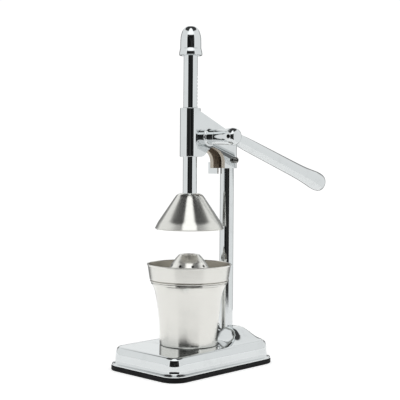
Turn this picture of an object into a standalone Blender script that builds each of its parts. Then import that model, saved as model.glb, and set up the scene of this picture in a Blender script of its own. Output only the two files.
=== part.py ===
"""Rack-and-pinion citrus press juicer, standing on a table.

Frame: metres, +Z up, origin at the centre of the footprint on the table. The front, where the cup
stands, faces -Y, the column is towards +Y, and the lever is on the +X side.
"""
import math

import bmesh
import bpy
from mathutils import Matrix, Vector

MM = 0.001
GAP = 0.3 * MM              # left between neighbouring pieces

# Facets round a turned shape
LARGE = 36
MEDIUM = 24
SMALL = 16
TINY = 10
CORNER_STEPS = 5

# Layout
ROD_Y = -6.4 * MM           # axis of the press rod, cone, strainer and cup
COLUMN_SPACING = 62.1 * MM  # rod axis to column axis
COLUMN_Y = ROD_Y + COLUMN_SPACING
TOP_Z = 380.0 * MM          # top of the knob

# Base
MAT_HALF_X = 54.75 * MM
MAT_HALF_Y = COLUMN_SPACING + 21.4 * MM
MAT_CORNER = 19.2 * MM
MAT_HEIGHT = 5.0 * MM
MAT_WEB = 2.0 * MM
BASE_TOP = 25.2 * MM
BASE_WALL = 2.2 * MM
FLANGE_INSET = 0.6 * MM     # flange edge inside the mat's edge
EDGE_INSET = 9.5 * MM       # flange edge to where the top's rounded edge ends
HUMP_HEIGHT = 13.4 * MM
SOCKET_FLOOR = 33.0 * MM
SOCKET_UNDER = 29.5 * MM
SOCKET_BOSS_R = 10.6 * MM
BOLT_BORE_R = 2.8 * MM
BOLT_R = 2.5 * MM
MAT_ACCESS_R = 7.5 * MM     # hole in the mat for a key to the column's bolt

# Column, rod and sleeve
COLUMN_R = 8.0 * MM
COLUMN_BORE_R = 6.6 * MM
COLUMN_TOP = 246.0 * MM
ROD_R = 7.85 * MM
ROD_TOP = 368.0 * MM
SLEEVE_R = 11.5 * MM
SLEEVE_BOTTOM = 234.3 * MM
SLEEVE_TOP = 288.8 * MM
KNOB_BOTTOM = 347.6 * MM

# Rack and pinion
MODULE = 1.25 * MM
PINION_TEETH = 24
PINION_R = MODULE * PINION_TEETH / 2
PRESSURE_ANGLE = math.radians(20)
ADDENDUM = MODULE
DEDENDUM = 1.25 * MODULE
BACKLASH = 0.45 * MM        # play between the flanks, along the pitch line
RACK_TIP = 6.5 * MM         # rod axis to the plane of the rack's tooth tips
SHAFT_SPACING = RACK_TIP - ADDENDUM + PINION_R
SHAFT_Y = ROD_Y + SHAFT_SPACING
SHAFT_Z = 256.8 * MM
TRAVEL = 58.5 * MM          # of the rod, from the raised rest to the knob on the sleeve
PINION_WIDTH = 8.0 * MM
PINION_HUB_R = 9.0 * MM
PINION_HUB_END = 7.9 * MM
SHAFT_R = 5.0 * MM
PIN_R = 1.2 * MM
PIN_X = 6.0 * MM

# Head bracket
BRACKET_WRAP_R = 11.3 * MM  # outside of the wrap round the column
BRACKET_FOOT = 221.6 * MM
POCKET_HALF_X = COLUMN_R + GAP
THROAT_HALF_X = 6.4 * MM    # half the gap between the cheeks at the arch
THROAT_TOP = 247.0 * MM
ROOF_SLOPE = 0.4362         # fall of the roof per unit of depth
ROOF_AT_ROD = 287.0 * MM    # height of the roof's plane over the rod axis
ROOF = 2.6 * MM
BUSH_R = 6.7 * MM
BOSS_R = 8.3 * MM
BOSS_END = 23.3 * MM
FAR_BOSS_END = -15.0 * MM
BRACKET_SCREW_Z = 231.0 * MM
BRACKET_SCREW_R = 2.2 * MM

# Lever
HUB_R = 8.5 * MM
HUB_BALL_R = 9.8 * MM       # the hub's rounded end, from which the arm comes
HUB_START = BOSS_END + GAP
HUB_END = 52.0 * MM
LEVER_X = 44.0 * MM
LEVER_DROP = math.radians(18.0)     # below the horizontal at rest
LEVER_LENGTH = 175.0 * MM
SET_SCREW_X = 47.4 * MM
SET_SCREW_R = 2.0 * MM

# Cone, strainer and cup
CONE_RIM_R = 37.4 * MM
CONE_RIM_Z = 153.3 * MM
CONE_TOP_Z = 190.6 * MM
CONE_WALL = 1.5 * MM
CONE_BORE_R = 3.4 * MM
CUP_FOOT_Z = BASE_TOP + GAP
CUP_RIM_R = 42.6 * MM
CUP_RIM_Z = 94.9 * MM
CUP_WALL = 1.1 * MM
STRAINER_RIM_R = 47.4 * MM
STRAINER_RIM_Z = CUP_RIM_Z + 19.9 * MM
STRAINER_WALL = 1.2 * MM
BOWL_R = 38.7 * MM          # outside of the bowl that hangs in the cup's mouth
DOME_FOOT_R = 31.3 * MM
DOME_HOLES = 9
DOME_HOLE_R = 1.6 * MM
DOME_HOLE_RING = 20.4 * MM
DOME_HOLE_PHASE = math.radians(5.1)
DOME_HOLE_TILT = math.radians(54)
FLOOR_HOLES = 10
FLOOR_HOLE_R = 1.3 * MM


# ---------------------------------------------------------------- helpers

def clear_scene():
    for item in list(bpy.data.objects):
        bpy.data.objects.remove(item, do_unlink=True)


def make_material(name, colour, metallic, roughness):
    material = bpy.data.materials.new(name)
    material.use_nodes = True
    shader = material.node_tree.nodes["Principled BSDF"]
    shader.inputs["Base Color"].default_value = (*colour, 1.0)
    shader.inputs["Metallic"].default_value = metallic
    shader.inputs["Roughness"].default_value = roughness
    return material


def chrome(name):
    return make_material(name, (0.80, 0.80, 0.79), 1.0, 0.08)


def satin_steel(name):
    return make_material(name, (0.72, 0.71, 0.68), 1.0, 0.28)


def steel(name):
    return make_material(name, (0.55, 0.55, 0.54), 1.0, 0.35)


def make_object(name, points, faces, material=None, origin=(0.0, 0.0, 0.0)):
    """A mesh object whose origin is at origin, from points given in the frame."""
    base = Vector(origin)
    mesh = bpy.data.meshes.new(name)
    mesh.from_pydata([Vector(point) - base for point in points], [], faces)
    work = bmesh.new()
    work.from_mesh(mesh)
    bmesh.ops.recalc_face_normals(work, faces=work.faces)
    work.to_mesh(mesh)
    work.free()
    mesh.shade_smooth()
    mesh.set_sharp_from_angle(angle=math.radians(32))
    item = bpy.data.objects.new(name, mesh)
    item.location = base
    bpy.context.scene.collection.objects.link(item)
    if material is not None:
        mesh.materials.append(material)
    return item


def along_z(x, y):
    """Places a turned profile on a vertical axis: (radius, angle, height) to a point."""
    return lambda radius, angle, height: (
        x + radius * math.cos(angle), y + radius * math.sin(angle), height)


def along_x(y, z):
    """Places a turned profile on an axis along X: height becomes X."""
    return lambda radius, angle, height: (
        height, y + radius * math.cos(angle), z + radius * math.sin(angle))


def along_y(x, z):
    """Places a turned profile on an axis along Y: height becomes Y."""
    return lambda radius, angle, height: (
        x + radius * math.cos(angle), height, z + radius * math.sin(angle))


def turned(name, profile, place, segments, material=None, origin=(0.0, 0.0, 0.0)):
    """A solid of revolution from a closed profile of (radius, height) pairs.

    A profile whose first and last radii are zero closes on the axis. Any other is a ring.
    """
    solid = profile[0][0] == 0.0 and profile[-1][0] == 0.0
    rows = profile[1:-1] if solid else profile
    points = []
    for radius, height in rows:
        for step in range(segments):
            points.append(place(radius, math.tau * step / segments, height))
    faces = []
    spans = len(rows) - 1 if solid else len(rows)
    for row in range(spans):
        low = row * segments
        high = (row + 1) % len(rows) * segments
        for step in range(segments):
            after = (step + 1) % segments
            faces.append((low + step, low + after, high + after, high + step))
    if solid:
        last = (len(rows) - 1) * segments
        faces.append(tuple(range(segments)))
        faces.append(tuple(range(last, last + segments)))
    return make_object(name, points, faces, material, origin)


def rod_profile(radius, low, high, edge=0.0):
    """Profile of a plain solid cylinder, with chamfered ends if edge is given."""
    if edge == 0.0:
        return [(0.0, low), (radius, low), (radius, high), (0.0, high)]
    return [(0.0, low), (radius - edge, low), (radius, low + edge),
            (radius, high - edge), (radius - edge, high), (0.0, high)]


def prism(name, outline, low, high, plane="YZ"):
    """Extrudes an outline: a (y, z) outline along X, or an (x, y) outline along Z."""
    count = len(outline)
    if plane == "YZ":
        points = [(side, a, b) for side in (low, high) for a, b in outline]
    else:
        points = [(a, b, side) for side in (low, high) for a, b in outline]
    faces = [tuple(range(count)), tuple(range(count, 2 * count))]
    for step in range(count):
        after = (step + 1) % count
        faces.append((step, after, count + after, count + step))
    return make_object(name, points, faces)


def cut(item, tool, operation="DIFFERENCE"):
    """Adds a live Boolean, and turns its tool into a hidden guide."""
    modifier = item.modifiers.new(tool.name, "BOOLEAN")
    modifier.operation = operation
    modifier.object = tool
    modifier.solver = "EXACT"
    tool.hide_render = True
    tool.display_type = "WIRE"
    return item


def smooth_step(value, low, high):
    t = min(1.0, max(0.0, (value - low) / (high - low)))
    return t * t * (3.0 - 2.0 * t)


def offset_profile(outer, wall):
    """The inner side of a turned sheet: outer profile points moved in by the wall, along normals."""
    inner = []
    for index, (radius, height) in enumerate(outer):
        before = Vector(outer[max(0, index - 1)])
        after = Vector(outer[min(len(outer) - 1, index + 1)])
        run = (after - before).normalized()
        inner.append((max(0.0, radius + run.y * wall), height - run.x * wall))
    return inner


# ---------------------------------------------------------------- base

def rounded_rectangle(half_x, half_y, corner, height):
    """One ring of points, with the same count whatever the size; height may be a function."""
    ring = []
    corners = ((1, -1, -90), (1, 1, 0), (-1, 1, 90), (-1, -1, 180))
    sides = (8, 5, 8, 5)
    for index, (sign_x, sign_y, start) in enumerate(corners):
        centre_x = sign_x * (half_x - corner)
        centre_y = sign_y * (half_y - corner)
        for step in range(CORNER_STEPS + 1):
            angle = math.radians(start + 90 * step / CORNER_STEPS)
            ring.append((centre_x + corner * math.cos(angle), centre_y + corner * math.sin(angle)))
        following = corners[(index + 1) % 4]
        end_angle = math.radians(following[2])
        end = (following[0] * (half_x - corner) + corner * math.cos(end_angle),
               following[1] * (half_y - corner) + corner * math.sin(end_angle))
        begin = ring[-1]
        for step in range(1, sides[index]):
            share = step / sides[index]
            ring.append((begin[0] + (end[0] - begin[0]) * share,
                         begin[1] + (end[1] - begin[1]) * share))
    if callable(height):
        return [(x, y, height(x, y)) for x, y in ring]
    return [(x, y, height) for x, y in ring]


def lofted(name, rings, material=None):
    """A closed solid through rings of equal point count, capped at both ends."""
    count = len(rings[0])
    points = [point for ring in rings for point in ring]
    faces = [tuple(range(count)), tuple(range(len(points) - count, len(points)))]
    for row in range(len(rings) - 1):
        for step in range(count):
            after = (step + 1) % count
            low = row * count
            faces.append((low + step, low + after, low + count + after, low + count + step))
    return make_object(name, points, faces, material)


def base_height(x, y):
    """Height of the base's top: flat, with a hump under the column that curves round the cup."""
    from_cup = math.hypot(x, y - ROD_Y)
    front = smooth_step(from_cup, 40 * MM, 60 * MM) * smooth_step(y - ROD_Y, 5 * MM, 30 * MM)
    side = 1.0 - smooth_step(abs(x), 14 * MM, 50 * MM)
    back = 1.0 - smooth_step(y, COLUMN_Y + 6.9 * MM, MAT_HALF_Y - 4.9 * MM)
    return BASE_TOP + HUMP_HEIGHT * front * side * back


def base_ring(inset, height):
    outline_inset = FLANGE_INSET + inset
    return rounded_rectangle(MAT_HALF_X - outline_inset, MAT_HALF_Y - outline_inset,
                             max(4 * MM, MAT_CORNER - outline_inset), height)


def top_rings(inset, lift, count):
    """Rings across the top, from the given inset in to the flat middle."""
    rings = []
    for step in range(count):
        share = 1.0 - (1.0 - 0.38) * step / (count - 1)
        outer = base_ring(inset, 0.0)
        rings.append([(x * share, y * share, base_height(x * share, y * share) + lift)
                      for x, y, _ in outer])
    return rings


def build_base_shell():
    bottom = MAT_HEIGHT + GAP
    sides = [(0.0, bottom), (0.0, bottom + 1.2 * MM), (0.5 * MM, bottom + 1.7 * MM),
             (1.9 * MM, bottom + 2.1 * MM), (2.9 * MM, bottom + 2.9 * MM),
             (3.5 * MM, bottom + 4.2 * MM), (3.85 * MM, BASE_TOP - 12.0 * MM),
             (4.15 * MM, BASE_TOP - 8.2 * MM), (4.5 * MM, BASE_TOP - 5.8 * MM),
             (5.05 * MM, BASE_TOP - 3.6 * MM), (5.7 * MM, BASE_TOP - 2.0 * MM),
             (6.7 * MM, BASE_TOP - 0.9 * MM), (7.9 * MM, BASE_TOP - 0.25 * MM)]
    shell = lofted("base_shell",
                   [base_ring(inset, height) for inset, height in sides]
                   + top_rings(EDGE_INSET, 0.0, 11), chrome("base_shell"))
    hollow_sides = [(3.5 * MM + BASE_WALL, bottom - 1 * MM),
                    (4.15 * MM + BASE_WALL, BASE_TOP - 8.2 * MM),
                    (5.05 * MM + BASE_WALL, BASE_TOP - 3.6 * MM - BASE_WALL)]
    hollow = lofted("cut_base_hollow",
                    [base_ring(inset, height) for inset, height in hollow_sides]
                    + top_rings(EDGE_INSET + BASE_WALL, -BASE_WALL, 6))
    boss = turned("add_socket_boss", rod_profile(SOCKET_BOSS_R, SOCKET_UNDER, SOCKET_FLOOR + 1.8 * MM),
                  along_z(0, COLUMN_Y), MEDIUM)
    socket = turned("cut_socket", rod_profile(COLUMN_R + GAP, SOCKET_FLOOR, 48 * MM),
                    along_z(0, COLUMN_Y), MEDIUM)
    bolt_hole = turned("cut_bolt_hole", rod_profile(BOLT_BORE_R, 26 * MM, 36 * MM),
                       along_z(0, COLUMN_Y), SMALL)
    cut(shell, hollow)
    cut(shell, boss, "UNION")
    cut(shell, socket)
    cut(shell, bolt_hole)


def build_base_mat():
    def ring(inset, height):
        return rounded_rectangle(MAT_HALF_X - inset, MAT_HALF_Y - inset, MAT_CORNER - inset, height)

    middle = MAT_HEIGHT / 2
    groove = 0.35 * MM
    outside = [(0.5 * MM, 0.0), (0.0, 0.6 * MM), (0.0, middle - groove), (groove, middle),
               (0.0, middle + groove), (0.0, MAT_HEIGHT - 0.4 * MM), (0.4 * MM, MAT_HEIGHT)]
    rim = 7.0 * MM
    inside = [(rim, MAT_HEIGHT), (rim + 0.6 * MM, MAT_WEB)]
    mat = lofted("rubber_base_mat", [ring(inset, height) for inset, height in outside + inside],
                 make_material("rubber_base_mat", (0.012, 0.012, 0.013), 0.0, 0.55))
    access = turned("cut_mat_access", rod_profile(MAT_ACCESS_R, -1 * MM, 3 * MM),
                    along_z(0, COLUMN_Y), SMALL)
    cut(mat, access)


def hexagon(radius, low, high, place, name, material):
    """A six-sided head or nut blank."""
    return turned(name, rod_profile(radius, low, high), place, 6, material)


def build_column():
    centre = along_z(0, COLUMN_Y)
    low = SOCKET_FLOOR + GAP
    tube = turned("column_tube",
                  [(COLUMN_BORE_R, low), (COLUMN_R, low), (COLUMN_R, COLUMN_TOP),
                   (COLUMN_BORE_R, COLUMN_TOP)], centre, MEDIUM, chrome("column_tube"))
    cross_hole = turned("cut_column_cross",
                        rod_profile(BRACKET_SCREW_R + GAP, -12 * MM, 12 * MM),
                        along_x(COLUMN_Y, BRACKET_SCREW_Z), TINY)
    cut(tube, cross_hole)
    turned("column_plug",
           [(BOLT_BORE_R, low), (COLUMN_BORE_R - GAP, low), (COLUMN_BORE_R - GAP, low + 24 * MM),
            (BOLT_BORE_R, low + 24 * MM)], centre, SMALL, steel("column_plug"))
    washer_top = SOCKET_UNDER - GAP
    washer_low = washer_top - 1.4 * MM
    turned("column_washer", [(BOLT_BORE_R, washer_low), (COLUMN_R, washer_low),
                             (COLUMN_R, washer_top), (BOLT_BORE_R, washer_top)],
           centre, SMALL, steel("column_washer"))
    head_top = washer_low - GAP
    bolt = hexagon(5.0 * MM, head_top - 4 * MM, head_top, centre, "column_bolt",
                   steel("column_bolt"))
    shank = turned("add_bolt_shank", rod_profile(BOLT_R, head_top - 2 * MM, low + 20 * MM),
                   centre, TINY)
    cut(bolt, shank, "UNION")


# ---------------------------------------------------------------- head bracket

def roof_height(depth):
    """Height of the bracket's roof at a distance behind the rod axis."""
    return ROOF_AT_ROD - ROOF_SLOPE * depth


def bracket_side():
    """Side outline of the bracket: sloping roof, and an arch between the sleeve and the column."""
    arch = ((45.6, 221.6), (45.6, 228.0), (45.1, 232.0), (43.4, 235.6), (40.9, 238.6),
            (37.4, 241.2), (32.3, 243.6), (27.0, 244.9), (23.4, 244.9), (19.9, 243.7),
            (16.8, 241.2), (13.6, 237.6), (10.4, 235.4), (6.8, 234.3), (0.0, 234.3))
    back = COLUMN_SPACING + BRACKET_WRAP_R
    roof = [(0.0, roof_height(0.0)), (back - 4 * MM, roof_height(back - 4 * MM)),
            (back - 1 * MM, roof_height(back) - 1.6 * MM), (back, roof_height(back) - 5 * MM)]
    outline = roof + [(back, BRACKET_FOOT)] + [(y * MM, z * MM) for y, z in arch]
    return [(ROD_Y + y, z) for y, z in outline]


def bracket_plan():
    """Plan outline: the tangent hull of the sleeve and of the wrap round the column."""
    tilt = math.asin((SLEEVE_R - BRACKET_WRAP_R) / COLUMN_SPACING)
    outline = []
    for step in range(25):
        angle = tilt + (math.pi - 2 * tilt) * step / 24
        outline.append((BRACKET_WRAP_R * math.cos(angle), COLUMN_Y + BRACKET_WRAP_R * math.sin(angle)))
    for step in range(25):
        angle = math.pi - tilt + (math.pi + 2 * tilt) * step / 24
        outline.append((SLEEVE_R * math.cos(angle), ROD_Y + SLEEVE_R * math.sin(angle)))
    return outline


def build_head_bracket():
    rod_axis = along_z(0, ROD_Y)
    shaft_axis = along_x(SHAFT_Y, SHAFT_Z)
    bracket = turned("head_bracket",
                     rod_profile(SLEEVE_R, SLEEVE_BOTTOM, SLEEVE_TOP, 0.6 * MM),
                     rod_axis, LARGE, chrome("head_bracket"))
    body = prism("add_bracket_body", bracket_plan(), 200 * MM, 300 * MM, "XY")
    cut(body, prism("keep_bracket_side", bracket_side(), -30 * MM, 30 * MM), "INTERSECT")
    cut(bracket, body, "UNION")
    fillet = [(BOSS_R + 2.2 * MM, 8 * MM), (BOSS_R + 2.2 * MM, 11.4 * MM),
              (BOSS_R + 0.9 * MM, 12.1 * MM), (BOSS_R + 0.2 * MM, 13.4 * MM)]
    near_boss = turned("add_near_boss",
                       [(0.0, 8 * MM)] + fillet + [(BOSS_R, 15 * MM), (BOSS_R, BOSS_END - 0.4 * MM),
                                                   (BOSS_R - 0.4 * MM, BOSS_END), (0.0, BOSS_END)],
                       shaft_axis, MEDIUM)
    cut(bracket, near_boss, "UNION")
    far_boss = turned("add_far_boss", rod_profile(BOSS_R, FAR_BOSS_END, -8.5 * MM, 0.5 * MM),
                      shaft_axis, MEDIUM)
    cut(bracket, far_boss, "UNION")

    roof_inside = ROOF * math.sqrt(1 + ROOF_SLOPE ** 2)
    front = SLEEVE_R - 1.9 * MM
    chamber = prism("cut_chamber",
                    [(ROD_Y + y, z) for y, z in (
                        (front, THROAT_TOP), (front, roof_height(front) - roof_inside),
                        (COLUMN_SPACING, roof_height(COLUMN_SPACING) - roof_inside),
                        (COLUMN_SPACING, THROAT_TOP))],
                    -POCKET_HALF_X, POCKET_HALF_X)
    cut(bracket, chamber)
    throat = prism("cut_throat",
                   [(ROD_Y + front, 210 * MM), (ROD_Y + front, THROAT_TOP + 1 * MM),
                    (COLUMN_Y, THROAT_TOP + 1 * MM), (COLUMN_Y, 210 * MM)],
                   -THROAT_HALF_X, THROAT_HALF_X)
    cut(bracket, throat)
    pocket = turned("cut_column_pocket", rod_profile(POCKET_HALF_X, 210 * MM, COLUMN_TOP + 4 * MM),
                    along_z(0, COLUMN_Y), MEDIUM)
    cut(bracket, pocket)
    cut(bracket, turned("cut_rod_bore", rod_profile(ROD_R + GAP, 225 * MM, 300 * MM), rod_axis, LARGE))
    window_half = 17.5 * MM
    window_x = PINION_WIDTH / 2 + 1.2 * MM
    window = prism("cut_pinion_window",
                   [(ROD_Y + 2 * MM, SHAFT_Z - window_half), (ROD_Y + 2 * MM, SHAFT_Z + window_half),
                    (ROD_Y + 11 * MM, SHAFT_Z + window_half), (ROD_Y + 11 * MM, SHAFT_Z - window_half)],
                   -window_x, window_x)
    cut(bracket, window)
    cut(bracket, turned("cut_bush_bore", rod_profile(BUSH_R + GAP, -20 * MM, 30 * MM),
                        shaft_axis, MEDIUM))
    cut(bracket, turned("cut_bracket_cross",
                        rod_profile(BRACKET_SCREW_R + GAP, -20 * MM, 20 * MM),
                        along_x(COLUMN_Y, BRACKET_SCREW_Z), TINY))
    slot_y = ROD_Y + 52.5 * MM
    slot = prism("cut_far_slot",
                 [(slot_y - 0.9 * MM, 215 * MM), (slot_y - 0.9 * MM, 228.5 * MM),
                  (slot_y + 0.9 * MM, 228.5 * MM), (slot_y + 0.9 * MM, 215 * MM)],
                 -20 * MM, -THROAT_HALF_X + 1 * MM)
    cut(bracket, slot)


def build_bracket_fasteners():
    axis = along_x(COLUMN_Y, BRACKET_SCREW_Z)
    seat = BRACKET_WRAP_R + GAP
    head_end = seat + 4.4 * MM
    nut_end = -seat - 3.4 * MM
    turned("bracket_screw",
           [(0.0, nut_end - 1.5 * MM), (BRACKET_SCREW_R, nut_end - 1.5 * MM), (BRACKET_SCREW_R, seat),
            (3.6 * MM, seat), (3.6 * MM, head_end - 0.5 * MM), (3.1 * MM, head_end),
            (1.7 * MM, head_end), (1.7 * MM, head_end - 2 * MM), (0.0, head_end - 2 * MM)],
           axis, SMALL, steel("bracket_screw"))
    nut_bore = BRACKET_SCREW_R + GAP
    nut = hexagon(4.4 * MM, nut_end, -seat, axis, "bracket_nut", steel("bracket_nut"))
    cut(nut, turned("cut_nut_bore", rod_profile(nut_bore, nut_end - 1 * MM, -seat + 1 * MM), axis, TINY))


# ---------------------------------------------------------------- pinion, shaft and lever

def pinion_outline():
    """Involute teeth about the shaft, with a tooth pointing straight at the rod."""
    base_r = PINION_R * math.cos(PRESSURE_ANGLE)
    tip_r = PINION_R + ADDENDUM
    root_r = PINION_R - DEDENDUM
    pitch_half = math.pi / (2 * PINION_TEETH) - BACKLASH / (4 * PINION_R)
    pitch_involute = math.tan(PRESSURE_ANGLE) - PRESSURE_ANGLE

    def half_angle(radius):
        pressure = math.acos(min(1.0, base_r / radius))
        return pitch_half + pitch_involute - (math.tan(pressure) - pressure)

    flank = [(root_r, half_angle(base_r) + 0.012), (base_r, half_angle(base_r)),
             (PINION_R, half_angle(PINION_R)), (tip_r, half_angle(tip_r))]
    outline = []
    for tooth in range(PINION_TEETH):
        centre = math.pi + math.tau * tooth / PINION_TEETH
        for radius, half in flank:
            outline.append((radius, centre - half))
        for radius, half in reversed(flank):
            outline.append((radius, centre + half))
    return [(SHAFT_Y + radius * math.cos(angle), SHAFT_Z + radius * math.sin(angle))
            for radius, angle in outline]


def build_pinion():
    shaft_axis = along_x(SHAFT_Y, SHAFT_Z)
    pivot = (0.0, SHAFT_Y, SHAFT_Z)
    half = PINION_WIDTH / 2
    gear = prism("pinion_gear", pinion_outline(), -half, half)
    gear.data.materials.append(steel("pinion_gear"))
    cut(gear, turned("add_pinion_hub", rod_profile(PINION_HUB_R, 0.0, PINION_HUB_END),
                     shaft_axis, MEDIUM), "UNION")
    cut(gear, turned("cut_pinion_bore", rod_profile(SHAFT_R + GAP, -10 * MM, 12 * MM),
                     shaft_axis, MEDIUM))
    pin_axis = along_z(PIN_X, SHAFT_Y)
    pin_hole = turned("cut_pin_hole", rod_profile(PIN_R + GAP, SHAFT_Z - 12 * MM, SHAFT_Z + 12 * MM),
                      pin_axis, TINY)
    cut(gear, pin_hole)
    turned("pinion_pin", rod_profile(PIN_R, SHAFT_Z - 8.4 * MM, SHAFT_Z + 8.4 * MM, 0.3 * MM),
           pin_axis, TINY, steel("pinion_pin"), pivot)

    shaft_far = FAR_BOSS_END - GAP
    shaft_near = HUB_END - 2.8 * MM
    shaft = turned("pinion_shaft", rod_profile(SHAFT_R, shaft_far, shaft_near, 0.4 * MM),
                   shaft_axis, MEDIUM, steel("pinion_shaft"), pivot)
    cut(shaft, pin_hole)
    cut(shaft, turned("cut_shaft_thread", rod_profile(2.3 * MM, shaft_far - 2 * MM, -5 * MM),
                      shaft_axis, TINY))
    for name, low, high in (("near_bush", POCKET_HALF_X + GAP, BOSS_END - GAP),
                            ("far_bush", FAR_BOSS_END + GAP, -POCKET_HALF_X - GAP)):
        turned(name, [(SHAFT_R + GAP, low), (BUSH_R, low), (BUSH_R, high), (SHAFT_R + GAP, high)],
               shaft_axis, MEDIUM, make_material(name, (0.55, 0.42, 0.20), 1.0, 0.3))
    washer_near = shaft_far - GAP
    washer_far = washer_near - 1.3 * MM
    turned("shaft_end_washer", [(2.3 * MM, washer_near), (7.4 * MM, washer_near),
                                (7.4 * MM, washer_far), (2.3 * MM, washer_far)],
           shaft_axis, SMALL, steel("shaft_end_washer"), pivot)
    head_near = washer_far - GAP
    head_far = head_near - 2.6 * MM
    turned("shaft_end_screw",
           [(0.0, -6 * MM), (2.0 * MM, -6 * MM), (2.0 * MM, head_near), (3.9 * MM, head_near),
            (3.9 * MM, head_far + 0.7 * MM), (3.0 * MM, head_far), (1.4 * MM, head_far),
            (1.4 * MM, head_far + 1.4 * MM), (0.0, head_far + 1.4 * MM)],
           shaft_axis, SMALL, steel("shaft_end_screw"), pivot)


def lever_sections():
    """The lever's oval sections: share of its length, half width along X, half height."""
    return ((0.0, 5.0, 5.2), (0.08, 6.6, 6.9), (0.1714, 7.3, 7.5), (0.3429, 7.7, 7.9),
            (0.5429, 8.1, 8.3), (0.7429, 8.6, 8.9), (0.8343, 9.2, 9.9), (0.8914, 9.6, 10.8),
            (0.9371, 9.6, 11.1), (0.9714, 8.8, 10.4), (0.9931, 6.8, 8.4), (1.0, 4.2, 5.4))


def build_lever():
    shaft_axis = along_x(SHAFT_Y, SHAFT_Z)
    pivot = (0.0, SHAFT_Y, SHAFT_Z)
    hub = turned("handle",
                 [(0.0, HUB_START), (HUB_R - 0.4 * MM, HUB_START), (HUB_R, HUB_START + 0.4 * MM),
                  (HUB_R, HUB_END - 16 * MM), (HUB_BALL_R - 0.3 * MM, HUB_END - 11.5 * MM),
                  (HUB_BALL_R, HUB_END - 8 * MM), (HUB_BALL_R - 0.5 * MM, HUB_END - 4.6 * MM),
                  (HUB_BALL_R - 1.9 * MM, HUB_END - 2 * MM),
                  (HUB_BALL_R - 4.4 * MM, HUB_END - 0.5 * MM), (0.0, HUB_END)],
                 shaft_axis, MEDIUM, chrome("handle"), pivot)
    run = Vector((0.0, math.cos(LEVER_DROP), -math.sin(LEVER_DROP)))
    rise = Vector((0.0, math.sin(LEVER_DROP), math.cos(LEVER_DROP)))
    side = Vector((1.0, 0.0, 0.0))
    middle = Vector((LEVER_X, SHAFT_Y, SHAFT_Z))
    rings = []
    for share, half_width, half_height in lever_sections():
        ring = []
        for step in range(MEDIUM):
            angle = math.tau * step / MEDIUM
            ring.append(middle + run * share * LEVER_LENGTH + side * half_width * MM * math.cos(angle)
                        + rise * half_height * MM * math.sin(angle))
        rings.append(ring)
    cut(hub, lofted("add_lever_arm", rings), "UNION")
    cut(hub, turned("cut_handle_bore",
                    rod_profile(SHAFT_R + GAP, HUB_START - 2 * MM, HUB_END - 2.5 * MM),
                    shaft_axis, MEDIUM))
    screw_axis = along_y(SET_SCREW_X, SHAFT_Z)
    cut(hub, turned("cut_set_screw",
                    rod_profile(SET_SCREW_R + GAP, SHAFT_Y - 12 * MM, SHAFT_Y - 4 * MM),
                    screw_axis, TINY))
    outer = SHAFT_Y - HUB_R + 1.0 * MM
    inner = SHAFT_Y - SHAFT_R - GAP
    turned("handle_set_screw",
           [(0.0, inner), (SET_SCREW_R, inner), (SET_SCREW_R, outer), (1.1 * MM, outer),
            (1.1 * MM, outer + 1.3 * MM), (0.0, outer + 1.3 * MM)],
           screw_axis, TINY, steel("handle_set_screw"), pivot)


# ---------------------------------------------------------------- press rod, knob and cone

def build_press_rod():
    rod_axis = along_z(0, ROD_Y)
    low = CONE_TOP_Z + GAP
    rod = turned("press_rod", rod_profile(ROD_R, low, ROD_TOP, 0.5 * MM), rod_axis, MEDIUM,
                 chrome("press_rod"))
    pitch = math.pi * MODULE
    slope = math.tan(PRESSURE_ANGLE)
    half_space = pitch / 4 + BACKLASH / 4
    half_tip = half_space + ADDENDUM * slope
    half_root = half_space - DEDENDUM * slope
    root = RACK_TIP - ADDENDUM - DEDENDUM
    tip_r = PINION_R + ADDENDUM
    swept = math.sqrt(tip_r ** 2 - (SHAFT_SPACING - ROD_R) ** 2) + GAP
    meshed = math.floor(math.sqrt(tip_r ** 2 - (SHAFT_SPACING - RACK_TIP) ** 2) / pitch)
    reach = max(swept, meshed * pitch + half_tip + GAP)
    rack_low = SHAFT_Z - reach
    rack_high = SHAFT_Z + TRAVEL + reach
    comb = [(RACK_TIP + 4 * MM, rack_low), (RACK_TIP, rack_low)]
    first = math.ceil((rack_low + half_tip - SHAFT_Z) / pitch)
    last = math.floor((rack_high - half_tip - SHAFT_Z) / pitch)
    for space in range(first, last + 1):
        middle = SHAFT_Z + space * pitch
        comb += [(RACK_TIP, middle - half_tip), (root, middle - half_root),
                 (root, middle + half_root), (RACK_TIP, middle + half_tip)]
    comb += [(RACK_TIP, rack_high), (RACK_TIP + 4 * MM, rack_high)]
    cut(rod, prism("cut_rack", [(ROD_Y + y, z) for y, z in comb], -12 * MM, 12 * MM))
    cut(rod, turned("cut_rod_thread", rod_profile(3.3 * MM, low - 2 * MM, low + 16 * MM),
                    rod_axis, TINY))


def build_knob():
    low = KNOB_BOTTOM
    bore = ROD_R + GAP
    crown = ((0.0, 0.0), (3.0, 0.0), (4.9, 0.15), (6.4, 1.1), (7.87, 2.5), (9.4, 4.9), (10.5, 8.0),
             (11.1, 10.5), (11.5, 13.5), (11.7, 18.0), (11.75, 24.2), (12.1, 25.6), (12.6, 27.9),
             (12.9, 29.6), (13.05, 31.5))
    profile = [(radius * MM, TOP_Z - drop * MM) for radius, drop in crown]
    profile += [(12.8 * MM, low), (11.6 * MM, low), (10.6 * MM, low + 1.4 * MM),
                (bore, low + 1.4 * MM), (bore, ROD_TOP + GAP), (0.0, ROD_TOP + GAP)]
    turned("rod_knob", profile, along_z(0, ROD_Y), MEDIUM, chrome("rod_knob"))


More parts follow.
